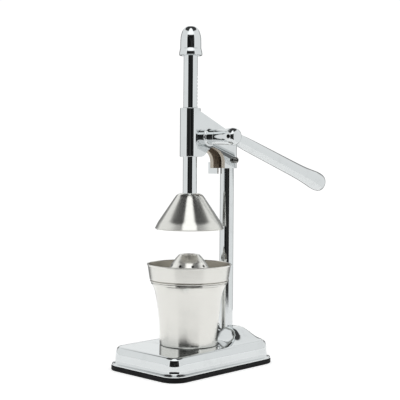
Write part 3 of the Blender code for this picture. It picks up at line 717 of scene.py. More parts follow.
def base_ring(inset, height):
    outline_inset = FLANGE_INSET + inset
    return rounded_rectangle(MAT_HALF_X - outline_inset, MAT_HALF_Y - outline_inset,
                             max(4 * MM, MAT_CORNER - outline_inset), height)


def top_rings(inset, lift, count):
    """Rings across the top, from the given inset in to a small one in the middle."""
    outer = base_ring(inset, 0.0)
    shares = [1.0 - 0.98 * step / (count - 1) for step in range(count)]
    return [[(x * share, y * share, base_height(x * share, y * share) + lift)
             for x, y, _ in outer] for share in shares]


class PRESS_OT_base(bpy.types.Operator):
    """Make the plated base with its hump, and the rubber mat under it."""

    bl_idname = "citrus_press.base"
    bl_label = "Base and Mat"

    def execute(self, context):
        self.make_shell()
        self.make_mat()
        return {"FINISHED"}

    def make_shell(self):
        wall = 2.2 * MM
        edge = 9.5 * MM
        axis = along_z(0, COLUMN_Y)
        sides = softened(mm_outline(((0.4, 0.0), (0.0, 0.3), (0.0, 1.2), (0.5, 1.7), (1.9, 2.1)),
                                    BASE_LOW), 0.7 * MM, 3)
        sides += flowing(mm_outline(((2.2, 2.2), (2.9, 2.9), (3.5, 4.2)), BASE_LOW) + mm_outline(
            ((3.85, -12.0), (4.15, -8.2), (4.5, -5.8), (5.05, -3.6), (5.7, -2.0), (6.7, -0.9),
             (7.9, -0.25)), BASE_TOP) + [(edge, BASE_TOP)], 3)
        outside = [base_ring(inset, height) for inset, height in sides[:-1]]
        outside += top_rings(edge, 0.0, 64)
        inner = [(3.5 * MM + wall, BASE_LOW), (4.15 * MM + wall, BASE_TOP - 8.2 * MM),
                 (5.05 * MM + wall, BASE_TOP - 3.6 * MM - wall)]
        inside = [base_ring(inset, height) for inset, height in inner]
        inside += top_rings(edge + wall, -wall, 24)
        shell = loft("base", inside[::-1] + outside, 30)
        socket_r, socket_top = sizes().column_radius + GAP, 48 * MM
        socket = softened([(0.0, SOCKET_FLOOR), (socket_r, SOCKET_FLOOR), (socket_r, socket_top),
                           (0.0, socket_top)], 0.01 * MM, 1)
        combine(shell, drum("boss", 10.6 * MM, 29.5 * MM, 34.8 * MM, axis, 64), "UNION", 30)
        combine(shell, lathe("socket", socket, axis, 96), "DIFFERENCE", 30)
        combine(shell, drum("hole", 2.8 * MM, 26 * MM, 36 * MM, axis, 32), "DIFFERENCE", 30)
        weighted(shell)
        finished(shell, "base_shell", "stand", chrome_material("base chrome"))

    def make_mat(self):
        groove = 0.35 * MM
        half = MAT_TOP / 2
        outline = softened([(1.0 * MM, 0.0), (0.3 * MM, 0.1 * MM), (0.0, 0.7 * MM),
                            (0.0, half - groove), (groove, half), (0.0, half + groove),
                            (0.0, MAT_TOP - 0.5 * MM), (0.5 * MM, MAT_TOP), (7.0 * MM, MAT_TOP),
                            (7.6 * MM, 2.0 * MM), (9.0 * MM, 2.0 * MM)], 0.3 * MM, 3)
        mat = loft("mat", [rounded_rectangle(MAT_HALF_X - inset, MAT_HALF_Y - inset,
                                             MAT_CORNER - inset, height)
                           for inset, height in outline])
        combine(mat, drum("access", 7.5 * MM, -1 * MM, 3 * MM, along_z(0, COLUMN_Y), 48))
        rubber = tuple(colours().rubber)
        black = rough_material("mat rubber", rubber, toned(rubber, 1.9), 0.0, 0.42, 0.62, 900.0,
                               0.06 * MM)
        dress(black.node_tree, Specular_IOR_Level=0.15)
        finished(mat, "rubber_base_mat", "stand", black)


# ---------------------------------------------------------------- column and bracket

BRACKET_FOOT = 221.6 * MM
ROOF_AT_ROD = 287.0 * MM
ROOF_INSIDE = 2.6 * MM * math.sqrt(1 + ROOF_SLOPE ** 2)
BOSS_END = 23.3 * MM
FAR_BOSS_END = -15.0 * MM
BRACKET_SCREW_Z = 231.0 * MM
SLEEVE_LOW = 234.3 * MM
POCKET_HALF_X = 8.3 * MM    # half the gap between the cheeks under the roof
THROAT_HALF_X = 6.4 * MM    # half the gap between them at the arch
THROAT_TOP = 247.0 * MM
BUSH_R = 6.7 * MM
BELOW, ABOVE = 210 * MM, 300 * MM   # reach of the cutters beyond the bracket


def roof_height(depth):
    """Height of the bracket's roof at a distance behind the rod axis."""
    return ROOF_AT_ROD - ROOF_SLOPE * depth


def bracket_side():
    """Side outline of the bracket: sloping roof, and an arch between the sleeve and the column."""
    arch = flowing([(45.6, 228.0), (45.1, 232.0), (43.4, 235.6), (40.9, 238.6), (37.4, 241.2),
                    (32.3, 243.6), (27.0, 244.9), (23.4, 244.9), (19.9, 243.7), (16.8, 241.2),
                    (13.6, 237.6), (10.4, 235.4), (6.8, 234.3)], 4)
    arch = mm_outline([(45.6, 221.6)] + arch + [(0.0, 234.3)])
    back = COLUMN_SPACING + sizes().wrap_radius
    roof = [(0.0, roof_height(0.0)), (back - 6 * MM, roof_height(back - 6 * MM)),
            (back - 4 * MM, roof_height(back - 4 * MM) - 0.15 * MM),
            (back - 2 * MM, roof_height(back - 2 * MM) - 0.9 * MM),
            (back - 0.7 * MM, roof_height(back) - 2.2 * MM), (back, roof_height(back) - 5 * MM)]
    return [(ROD_Y + y, z) for y, z in roof + [(back, BRACKET_FOOT)] + arch]


def bracket_plan():
    """Plan outline: the tangent hull of the sleeve and of the wrap round the column."""
    wrap, sleeve = sizes().wrap_radius, sizes().sleeve_radius
    tilt = math.asin((sleeve - wrap) / COLUMN_SPACING)
    outline = []
    for radius, centre, start, sweep in ((wrap, COLUMN_Y, tilt, math.pi - 2 * tilt),
                                         (sleeve, ROD_Y, math.pi - tilt, math.pi + 2 * tilt)):
        for step in range(49):
            angle = start + sweep * step / 48
            outline.append((radius * math.cos(angle), centre + radius * math.sin(angle)))
    return outline


def cavity_front():
    """Distance from the rod's axis to the front of the gap between the cheeks."""
    return sizes().sleeve_radius - 1.9 * MM


def on_roof_edge(edge):
    """Whether an edge of the bracket lies in the roof's plane and behind the sleeve."""
    in_plane = all(abs(point.co.z - roof_height(point.co.y - ROD_Y)) < 0.02 * MM
                   for point in edge.verts)
    return in_plane and max(point.co.y for point in edge.verts) > ROD_Y + 5 * MM


def bracket_body():
    """Cheeks and roof between the sleeve and the column, hollowed and drilled."""
    front = cavity_front()
    body = prism("body", bracket_plan(), 200 * MM, ABOVE, "XY")
    combine(body, prism("side", bracket_side(), -30 * MM, 30 * MM), "INTERSECT")
    bevelled_where(body, 1.4 * MM, 4, on_roof_edge)
    chamber = [(ROD_Y + y, z) for y, z in (
        (front, THROAT_TOP), (front, roof_height(front) - ROOF_INSIDE),
        (COLUMN_SPACING, roof_height(COLUMN_SPACING) - ROOF_INSIDE),
        (COLUMN_SPACING, THROAT_TOP))]
    combine(body, prism("chamber", chamber, -POCKET_HALF_X, POCKET_HALF_X))
    combine(body, prism("throat", box_outline(ROD_Y + front, COLUMN_Y, BELOW, THROAT_TOP + 1 * MM),
                        -THROAT_HALF_X, THROAT_HALF_X))
    combine(body, drum("pocket", POCKET_HALF_X, BELOW, 250 * MM, along_z(0, COLUMN_Y), 96))
    bevelled(body, 0.55 * MM, 3, 50)
    combine(body, drum("bore", sizes().rod_radius + GAP + 0.02 * MM, 225 * MM, ABOVE,
                       along_z(0, ROD_Y), 128))
    slot_y, slot_half = ROD_Y + 52.5 * MM, 0.9 * MM
    combine(body, prism("slot", box_outline(slot_y - slot_half, slot_y + slot_half, 215 * MM,
                                            228.5 * MM), -20 * MM, -THROAT_HALF_X + 1 * MM))
    return body


def bracket_bosses():
    """The ring bosses of the shaft, the near one flared into its cheek."""
    boss_r = sizes().boss_radius
    inner_r = BUSH_R + GAP
    near = softened([(inner_r, 15 * MM), (inner_r, 9.0 * MM), (boss_r + 3.2 * MM, 9.0 * MM),
                     (boss_r + 2.6 * MM, 11.3 * MM)], 0.05 * MM, 1)
    near += flowing(mm_outline(((2.2, 11.5), (0.9, 12.1), (0.2, 13.4), (0.0, 15.0)), 0.0, boss_r), 5)
    near += softened([(boss_r, 16 * MM), (boss_r, BOSS_END), (inner_r, BOSS_END),
                      (inner_r, 16 * MM)], 0.6 * MM, 4)
    far = softened([(inner_r, -11 * MM), (inner_r, FAR_BOSS_END), (boss_r, FAR_BOSS_END),
                    (boss_r, -9.0 * MM), (inner_r, -9.0 * MM), (inner_r, -10.5 * MM)],
                   0.5 * MM, 4)
    shaft_axis = along_x(SHAFT_Y, SHAFT_Z)
    return [lathe("near_boss", near, shaft_axis, 96), lathe("far_boss", far, shaft_axis, 96)]


class PRESS_OT_column(bpy.types.Operator):
    """Make the plated column."""

    bl_idname = "citrus_press.column"
    bl_label = "Column"

    def execute(self, context):
        low, high = lowest("column_tube").z, highest("column_tube").z
        radius = sizes().column_radius
        bore = radius - 1.4 * MM
        edge = 0.5 * MM
        profile = [(bore, low + 1 * MM), (bore, low), (radius - edge, low), (radius, low + edge),
                   (radius, low + 3 * MM), (radius, high - 3 * MM), (radius, high - edge),
                   (radius - edge, high), (bore, high), (bore, high - 1 * MM)]
        column = lathe("column", profile, along_z(0, COLUMN_Y), 128)
        finished(column, "column_tube", "stand", chrome_material("column chrome", 0.09, 0.17))
        return {"FINISHED"}


class PRESS_OT_bracket(bpy.types.Operator):
    """Make the head bracket: sleeve, hollow body with its arch, and the shaft bosses."""

    bl_idname = "citrus_press.bracket"
    bl_label = "Head Bracket"

    def execute(self, context):
        high = highest("head_bracket").z
        sleeve_r = sizes().sleeve_radius
        bore = sizes().rod_radius + GAP
        middle = (SLEEVE_LOW + high) / 2
        sleeve = lathe("sleeve", softened(
            [(bore, middle), (bore, SLEEVE_LOW), (sleeve_r, SLEEVE_LOW), (sleeve_r, high),
             (bore, high), (bore, middle + 1 * MM)], 0.8 * MM, 4), along_z(0, ROD_Y), 128)
        body = bracket_body()
        window = box_outline(ROD_Y + 2 * MM, ROD_Y + 11 * MM, SHAFT_Z - 17.5 * MM,
                             SHAFT_Z + 17.5 * MM)
        for part in (body, sleeve):
            combine(part, prism("window", window, -5.2 * MM, 5.2 * MM))
        combine(body, drum("bush_hole", BUSH_R + GAP, -20 * MM, 30 * MM,
                           along_x(SHAFT_Y, SHAFT_Z), 64))
        combine(body, drum("screw_hole", 2.5 * MM, -20 * MM, 20 * MM,
                           along_x(COLUMN_Y, BRACKET_SCREW_Z), 32))
        weighted(body)
        bracket = joined("bracket", [body, sleeve] + bracket_bosses())
        weighted(bracket)
        casting = tuple(colours().casting)
        finished(bracket, "head_bracket", "stand", chrome_material("bracket chrome"),
                 rough_material("raw casting", casting, toned(casting, 1.3), 0.3, 0.45, 0.75,
                                500.0, 0.2 * MM),
                 # A pale beige on the arch's edges stands in for the bright rims there: painted
                 # highlight.
                 rough_material("ground edge", (0.55, 0.50, 0.43), (0.47, 0.43, 0.37), 0.8, 0.35,
                                0.5, 900.0, 0.05 * MM))
        for face in bracket.data.polygons:
            face.material_index = self.finish_of(face)
        return {"FINISHED"}

    def finish_of(self, face):
        """Raw casting between the cheeks, a pale beige painted highlight on the arch's edges, chrome
        elsewhere.
        """
        x, y, z = face.center
        from_rod = y - ROD_Y
        between = (abs(x) < POCKET_HALF_X + 0.06 * MM and from_rod > cavity_front() - 0.1 * MM
                   and z < roof_height(from_rod) - ROOF_INSIDE + 0.1 * MM)
        in_pocket = math.hypot(y - COLUMN_Y, x) < POCKET_HALF_X + 0.1 * MM
        if between and (in_pocket or y < COLUMN_Y):
            return 1
        across = THROAT_HALF_X < abs(x) < sizes().wrap_radius - 0.2 * MM
        on_arch = z < 245.2 * MM and 8 * MM < from_rod < 46 * MM
        return 2 if across and on_arch and abs(face.normal.x) < 0.3 else 0


# ---------------------------------------------------------------- fasteners


def cross_recess(depth, width):
    """Two crossed bars that cut a cross recess, about the origin, reaching down by depth."""
    bars = []
    for turn in (0, 90):
        outline = box_outline(-width * 1.9, width * 1.9, -0.42 * width, 0.42 * width)
        bar = prism("bar", outline, -depth, 1.0 * MM, "XY")
        bar.data.transform(Matrix.Rotation(math.radians(turn + 20), 4, "Z"))
        bars.append(bar)
    return bars


def pan_head_screw(name, shank_r, length, head_r, head_height):
    """A pan-head screw along Z, with the underside of its head at the origin."""
    dome = flowing([(head_r, 0.35 * head_height), (head_r * 0.93, 0.72 * head_height),
                    (head_r * 0.7, 0.93 * head_height), (head_r * 0.35, head_height)], 5)
    profile = [(0.0, -length), (shank_r - 0.3 * MM, -length), (shank_r, -length + 0.3 * MM),
               (shank_r, -0.1 * MM), (shank_r, 0.0), (head_r - 0.15 * MM, 0.0),
               (head_r, 0.15 * MM)]
    profile += dome + [(0.0, head_height * 1.005)]
    screw = lathe(name, profile, along_z(0, 0), 64)
    for bar in cross_recess(head_height * 0.7, 1.3 * MM):
        bar.data.transform(Matrix.Translation((0, 0, head_height)))
        combine(screw, bar)
    return screw


def place_fastener(name, source, place, turn, node, body, material):
    """Puts a modelled fastener where its CAD node is."""
    item = bpy.data.objects.new(name, bpy.data.meshes.new(name))
    bpy.context.scene.collection.objects.link(item)
    run_tree(item, tree_named("Placed Fastener", fastener_tree),
             {"Fastener": source, "Place": place, "Turn": turn, "Material": material})
    remove(source)
    shaded(item.data)
    finished(item, node, body, material)


class PRESS_OT_fasteners(bpy.types.Operator):
    """Make the bracket's screw and nut, and the shaft's end screw and washer."""

    bl_idname = "citrus_press.fasteners"
    bl_label = "Fasteners"

    def execute(self, context):
        zinc = tuple(colours().zinc)
        plated = rough_material("fastener zinc", zinc, toned(zinc, 0.8), 1.0, 0.22, 0.38, 1500.0,
                                0.02 * MM)
        dark = rough_material("dark zinc", (0.30, 0.30, 0.29), (0.20, 0.20, 0.19), 1.0, 0.18, 0.34,
                              1500.0, 0.02 * MM)
        low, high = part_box("bracket_screw")
        seat = 11.6 * MM
        screw = pan_head_screw("screw_shape", 2.2 * MM, seat - low.x, (high.z - low.z) / 2,
                               high.x - seat)
        place_fastener("bracket_bolt", screw, (seat, COLUMN_Y, BRACKET_SCREW_Z),
                       (0.0, math.radians(90), 0.0), "bracket_screw", "stand", dark)
        low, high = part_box("shaft_end_screw")
        screw = pan_head_screw("end_screw_shape", 2.0 * MM, 10.6 * MM, (high.z - low.z) / 2, 2.6 * MM)
        place_fastener("end_screw", screw, (low.x + 2.6 * MM, SHAFT_Y, SHAFT_Z),
                       (0.0, math.radians(-90), 0.0), "shaft_end_screw", "lever", plated)
        low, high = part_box("bracket_nut")
        radius = (high.y - low.y) / 2
        nut = lathe("nut", [(2.5 * MM, low.x), (radius, low.x), (radius, high.x),
                            (2.5 * MM, high.x)], along_x(COLUMN_Y, BRACKET_SCREW_Z), 6)
        bevelled(nut, 0.3 * MM, 2, 30)
        finished(nut, "bracket_nut", "stand", plated)
        low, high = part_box("shaft_end_washer")
        hole, radius, middle = 2.3 * MM, (high.z - low.z) / 2, middle_of("shaft_end_washer").x
        washer = lathe("end_washer", softened(
            [(hole, middle), (hole, low.x), (radius, low.x), (radius, high.x), (hole, high.x),
             (hole, middle + 0.1 * MM)], 0.25 * MM, 3), along_x(SHAFT_Y, SHAFT_Z), 64)
        finished(washer, "shaft_end_washer", "lever", plated)
        return {"FINISHED"}


# ---------------------------------------------------------------- lever


def lever_sections():
    """The lever's oval sections: distance from the shaft, half width along X, half height."""
    return ((0.0, 5.0, 5.2), (14.0, 6.6, 6.9), (30.0, 7.3, 7.5), (60.0, 7.7, 7.9),
            (95.0, 8.1, 8.3), (130.0, 8.6, 8.9), (146.0, 9.2, 9.9), (156.0, 9.6, 10.8),
            (164.0, 9.6, 11.1), (170.0, 8.8, 10.4), (173.8, 6.8, 8.4), (174.7, 4.4, 5.8),
            (174.9, 2.0, 2.6))


LEVER_X = 44.0 * MM
LEVER_DROP = math.radians(18.0)
# The smooth sections bulge past the flat-sided ones of the CAD lever, so they are drawn in a little
LEVER_REACH = 174.8
LEVER_INSET = 0.06
LEVER_TRIM = 0.994
HUB_START = 23.6 * MM
HUB_END = highest("handle").x
SET_SCREW_X = 47.4 * MM


class PRESS_OT_lever(bpy.types.Operator):
    """Make the lever with its hub, and the set screw that holds it."""

    bl_idname = "citrus_press.lever"
    bl_label = "Lever"

    def execute(self, context):
        shaft_axis = along_x(SHAFT_Y, SHAFT_Z)
        radius = sizes().hub_radius
        ball = radius + 1.25 * MM
        nose = flowing(mm_outline([(0.4, -17.0)], HUB_END, radius) + mm_outline(
            ((0.0, -8.0), (-0.5, -4.6), (-1.9, -2.0), (-4.4, -0.5), (-8.0, 0.0)), HUB_END, ball), 6)
        profile = softened([(0.0, HUB_START), (radius, HUB_START), (radius, HUB_START + 4 * MM)],
                           0.5 * MM, 4)
        profile += nose + [(0.0, HUB_END)]
        hub = lathe("lever", profile, shaft_axis, 96)
        run = Vector((0.0, math.cos(LEVER_DROP), -math.sin(LEVER_DROP)))
        rise = Vector((0.0, math.sin(LEVER_DROP), math.cos(LEVER_DROP)))
        side = Vector((1.0, 0.0, 0.0))
        centre = Vector((LEVER_X, SHAFT_Y, SHAFT_Z))
        rings = []
        for distance, half_width, half_height in flowing(lever_sections(), 6):
            middle = centre + run * (min(distance, LEVER_REACH) - LEVER_INSET) * MM
            rings.append([middle + side * half_width * LEVER_TRIM * MM * math.cos(angle)
                          + rise * half_height * LEVER_TRIM * MM * math.sin(angle)
                          for angle in (math.tau * step / 64 for step in range(64))])
        combine(hub, loft("arm", rings), "UNION")
        combine(hub, drum("set_hole", 2.3 * MM, SHAFT_Y - 12 * MM, SHAFT_Y - 4 * MM,
                          along_y(SET_SCREW_X, SHAFT_Z), 40))
        finished(hub, "handle", "lever", chrome_material("lever chrome"))

        outer = SHAFT_Y - radius + 1.0 * MM
        far = highest("handle_set_screw").y
        profile = [(0.0, far), (1.6 * MM, far), (2.0 * MM, far - 0.4 * MM),
                   (2.0 * MM, outer + 0.3 * MM), (1.75 * MM, outer), (0.0, outer)]
        screw = lathe("set_screw", profile, along_y(SET_SCREW_X, SHAFT_Z), 48)
        combine(screw, drum("socket", 1.1 * MM, outer - 1 * MM, outer + 1.3 * MM,
                            along_y(SET_SCREW_X, SHAFT_Z), 6))
        finished(screw, "handle_set_screw", "lever",
                 rough_material("black oxide", (0.03, 0.03, 0.032), (0.05, 0.048, 0.045), 0.8,
                                0.35, 0.5, 1500.0, 0.03 * MM))
        return {"FINISHED"}


# ---------------------------------------------------------------- press rod, knob and cone

MODULE = 1.25 * MM
RACK_TIP = 6.5 * MM
TRAVEL = 58.5 * MM
BACKLASH = 0.45 * MM
PINION_R = 15.0 * MM


class PRESS_OT_press(bpy.types.Operator):
    """Make the rod with its rack, the knob and the cone."""

    bl_idname = "citrus_press.press"
    bl_label = "Rod, Knob and Cone"

    def execute(self, context):
        self.make_rod()
        self.make_knob()
        self.make_cone()
        return {"FINISHED"}

    def make_rod(self):
        low, high = lowest("press_rod").z, highest("press_rod").z
        radius = sizes().rod_radius
        profile = softened([(0.0, low), (radius, low), (radius, high), (0.0, high)], 0.7 * MM, 3)
        rod = lathe("rod", profile, along_z(0, ROD_Y), 128)
        pitch = math.pi * MODULE
        swept = math.sqrt((PINION_R + MODULE) ** 2 - (SHAFT_Y - ROD_Y - radius) ** 2) + GAP
        rack_low, rack_high = SHAFT_Z - swept, SHAFT_Z + TRAVEL + swept
        slope = math.tan(math.radians(20))
        half_space = pitch / 4 + BACKLASH / 4
        half_tip = half_space + MODULE * slope
        half_root = half_space - 1.25 * MODULE * slope
        root = RACK_TIP - 2.25 * MODULE
        flat = box_outline(ROD_Y + RACK_TIP, ROD_Y + RACK_TIP + 4 * MM, rack_low, rack_high)
        combine(rod, prism("flat", flat, -12 * MM, 12 * MM))
        first = math.ceil((rack_low + half_tip - SHAFT_Z) / pitch)
        last = math.floor((rack_high - half_tip - SHAFT_Z) / pitch)
        over = 0.5 * MM
        space = prism("space", [(RACK_TIP + over, -half_tip - over * slope), (root, -half_root),
                                (root, half_root), (RACK_TIP + over, half_tip + over * slope)],
                      -12 * MM, 12 * MM)
        chrome = chrome_material("rod chrome")
        run_tree(rod, tree_named("Rack Teeth", rack_tree), {
            "Spaces": last - first + 1, "Pitch": pitch, "Space Shape": space,
            "First Space": (0.0, ROD_Y, SHAFT_Z + first * pitch), "Material": chrome})
        remove(space)
        shaded(rod.data)
        weighted(rod)
        finished(rod, "press_rod", "press", chrome)

    def make_knob(self):
        low, high = lowest("rod_knob").z, highest("rod_knob").z
        bore = sizes().rod_radius + GAP
        rod_top = highest("press_rod").z + GAP
        crown = ((0.0, 0.0), (3.0, 0.03), (4.9, 0.25), (6.4, 1.1), (7.87, 2.5), (9.4, 4.9),
                 (10.5, 8.0), (11.1, 10.5), (11.5, 13.5), (11.7, 18.0), (11.75, 24.2), (12.1, 25.6),
                 (12.6, 27.9), (12.9, 29.6), (13.0, 31.5))
        crown = flowing([(radius * MM, high - drop * MM) for radius, drop in crown], 5)
        crown = [(radius, min(height, high)) for radius, height in crown]
        skirt = [(12.8 * MM, low), (11.6 * MM, low), (10.6 * MM, low + 1.4 * MM),
                 (bore, low + 1.4 * MM), (bore, rod_top), (0.0, rod_top)]
        crown[0] = (0.0, high)
        profile = crown + softened([crown[-1]] + skirt, 0.35 * MM, 3)[1:]
        knob = lathe("knob", profile, along_z(0, ROD_Y), 128)
        finished(knob, "rod_knob", "press", chrome_material("knob chrome"))

    def make_cone(self):
        low, high = lowest("press_cone").z, highest("press_cone").z
        wall = 1.5 * MM
        rim = sizes().cone_radius
        outer = softened([(3.4 * MM, high), (10.6 * MM, high), (13.2 * MM, high - 1.2 * MM),
                          (15.0 * MM, high - 3.4 * MM), (33.9 * MM, low + 7.4 * MM),
                          (rim, low + 0.4 * MM)], 2.0 * MM, 5)
        inner = moved_in(outer, wall)
        inner[0] = (3.4 * MM, high - wall)
        lip = [(rim, low + 0.4 * MM), (rim - 0.25 * MM, low), (rim - wall + 0.25 * MM, low)]
        cone = lathe("cone", outer + lip[1:] + inner[::-1], along_z(0, ROD_Y), 160)
        steel = spun_steel("cone steel", tuple(colours().steel), 0.18, 0.8, 0.96)
        pale = spun_steel("cone inside", toned(colours().steel, 1.1), 0.6, 0.0)
        finished(cone, "press_cone", "press", steel, pale)
        for face in cone.data.polygons:
            if face.normal.z < -0.1:
                face.material_index = 1


# ---------------------------------------------------------------- cup and strainer


class PRESS_OT_cup(bpy.types.Operator):
    """Make the juice cup."""

    bl_idname = "citrus_press.cup"
    bl_label = "Juice Cup"

    def execute(self, context):
        foot, rim = lowest("juice_cup").z, highest("juice_cup").z
        wall = 1.1 * MM
        base = foot + 1.2 * MM
        edge = sizes().cup_radius
        side = flowing(mm_outline(((32.6, 1.0), (33.1, 20.0), (34.4, 34.0), (36.0, 47.5),
                                   (38.4, 59.5), (41.2, 66.2)), foot)
                       + [(edge - 0.1 * MM, rim - 2.0 * MM)], 8)
        outer = softened([(0.0, base), (30.6 * MM, base), (31.2 * MM, foot), (32.3 * MM, foot),
                          side[0]], 0.5 * MM, 3)[:-1] + side
        lip = mm_outline(((0.0, -0.9), (-0.2, -0.25), (-0.7, 0.0), (-1.2, -0.2)), rim, edge)
        inner = [(radius - wall, height) for radius, height in side[::-1] if height > foot + 4 * MM]
        bottom = flowing([inner[-1], (31.4 * MM, base + 2.6 * MM), (30.4 * MM, base + wall + 0.2 * MM),
                          (28.5 * MM, base + wall), (0.0, base + wall)], 4)
        cup = lathe("cup", outer + lip + inner + bottom[1:], along_z(0, ROD_Y), 160)
        finished(cup, "juice_cup", "cup",
                 spun_steel("cup steel", tuple(colours().steel), 0.2, 0.7, 0.98))
        return {"FINISHED"}


DOME_R = 28 * MM
DOME_RISE = 10.5 * MM
DOME_HOLE_TILT = math.radians(54)
DOME_HOLE_PHASE = math.radians(5.1)
TROUGH_INNER = 31.3 * MM


class PRESS_OT_strainer(bpy.types.Operator):
    """Make the strainer with its perforated dome and floor."""

    bl_idname = "citrus_press.strainer"
    bl_label = "Strainer"

    def execute(self, context):
        rim = highest("strainer").z - DOME_RISE
        seat = highest("juice_cup").z + GAP
        bowl = 38.7 * MM
        floor = lowest("strainer").z
        wall = 1.2 * MM
        edge = sizes().strainer_radius
        under = mm_outline(((0.0, 4.6), (8.7, 4.6), (9.1, 8.6), (10.5, 9.3), (13.7, 6.1),
                            (17.3, 1.5), (21.3, -4.9), (24.6, -9.4), (28.0, -15.6)), rim)
        under += [(30.2 * MM, floor), (bowl - 1.5 * MM, floor), (bowl, floor + 1.6 * MM),
                  (bowl + 1.4 * MM, seat - 1.0 * MM), (bowl + 2.2 * MM, seat)]
        under += mm_outline(((43.3, 0.0), (43.7, 0.5), (43.7, 1.4), (42.7, 1.7), (42.7, 2.1),
                             (44.1, 2.5)), seat)
        under += [(46.5 * MM, rim - 1.6 * MM)]
        under += mm_outline(((0.0, -0.9), (0.0, -0.3), (-0.4, 0.0)), rim, edge)
        over = mm_outline(((46.1, 0.0), (45.5, -0.5)), rim)
        over += [(42.6 * MM, seat + 3.6 * MM), (41.4 * MM, seat + 1.6 * MM),
                 (bowl + 0.6 * MM, seat + 0.4 * MM), (bowl - 1.3 * MM, floor + 1.5 * MM),
                 (bowl - 2.2 * MM, floor + wall), (TROUGH_INNER, floor + wall)]
        over += mm_outline(((29.2, -15.2), (25.7, -8.8), (22.3, -4.3), (18.2, 2.2), (14.6, 6.8),
                            (11.0, 10.5), (9.0, 10.5), (7.8, 9.2), (7.5, 5.8), (0.0, 5.8)), rim)
        profile = softened(under + over, 1.0 * MM, 3)
        strainer = lathe("strainer_bowl", profile, along_z(0, ROD_Y), 128)
        metal = tuple(colours().steel)
        steel = spun_steel("strainer steel", metal, 0.22, 0.7)
        # Half the steel's colour on the faces that look inwards across the rim and up from the trough:
        # painted shade. Their rougher finish is the steel's own.
        inside = tuple(value * share for value, share in zip(metal, (0.5, 0.47, 0.42)))
        dull = spun_steel("strainer inside", inside, 0.38, 0.4, 0.9)
        # The dome's upward faces are 15% brighter than the rest of the steel: painted light. Their
        # smooth, unbrushed finish is their own.
        bright = spun_steel("strainer dome", toned(metal, 1.15), 0.24, 0.0)
        holes = tree_named("Perforated Ring", perforation_tree)
        run_tree(strainer, holes, {
            "Holes": sizes().dome_holes, "Ring Radius": 20.4 * MM,
            "Hole Radius": sizes().dome_hole_radius, "Depth": 10 * MM,
            "Tilt": DOME_HOLE_TILT, "Phase": DOME_HOLE_PHASE,
            "Centre": (0.0, ROD_Y, rim - 1.6 * MM), "Material": steel})
        ring = (TROUGH_INNER + bowl - 2.2 * MM) / 2
        run_tree(strainer, holes, {
            "Holes": sizes().floor_holes, "Ring Radius": ring,
            "Hole Radius": sizes().floor_hole_radius, "Depth": 6 * MM,
            "Tilt": 0.0, "Phase": math.tau * 0.37 / sizes().floor_holes,
            "Centre": (0.0, ROD_Y, floor + 1.2 * MM), "Material": steel})
        shaded(strainer.data)
        finished(strainer, "strainer", "strainer", steel, dull, bright)
        inside_shade_slot = strainer.data.materials.find(dull.name)
        lit_dome_slot = strainer.data.materials.find(bright.name)
        for face in strainer.data.polygons:
            out = Vector((face.center.x, face.center.y - ROD_Y, 0.0))
            inward = face.normal.dot(out.normalized()) < -0.3 and face.center.z > seat
            trough = face.normal.z > 0.3 and face.center.z < seat + 2 * MM
            if DOME_R < out.length < 45.6 * MM and (inward or trough):
                face.material_index = inside_shade_slot
            elif out.length < DOME_R and face.normal.z > 0.1:
                face.material_index = lit_dome_slot
        return {"FINISHED"}


# ---------------------------------------------------------------- carried-over nodes


class PRESS_OT_finishes(bpy.types.Operator):
    """Give the CAD pieces that stay as they are their finishes."""

    bl_idname = "citrus_press.finishes"
    bl_label = "Finishes of CAD Pieces"

    def execute(self, context):
        zinc = tuple(colours().zinc)
        brass = tuple(colours().brass)
        plated = rough_material("plain steel", zinc, toned(zinc, 0.82), 1.0, 0.28, 0.42, 1200.0,
                                0.03 * MM)
        brassy = rough_material("bush brass", brass, toned(brass, 0.85), 1.0, 0.25, 0.4, 1200.0,
                                0.03 * MM)
        for name, node in frame["nodes"].items():
            if node.hide_render:
                continue
            finish = brassy if name.endswith("bush") else plated
            for index in range(len(node.data.materials)):
                node.data.materials[index] = finish
        return {"FINISHED"}


# ---------------------------------------------------------------- studio

CAMERA_TURN = math.radians(44.102)
CAMERA_ROLL = math.radians(0.413)
CAMERA_DISTANCE = 1.0569
CAMERA_HEIGHT = 0.2276

# Brightness of the parts of the surround
WHITE = (1.0, 1.0, 1.0, 1.0)
SIDE_LEVEL = 1.25
WALL_LEVEL = 1.0
CEILING_LEVEL = 0.06
CARD_LEVEL = 1.5
OPENING_LEVELS = (0.01, 0.07)
BEHIND_LEVEL = 0.27
BACKDROP_LEVEL = 1.05
FLOOR_GLOW = 0.56


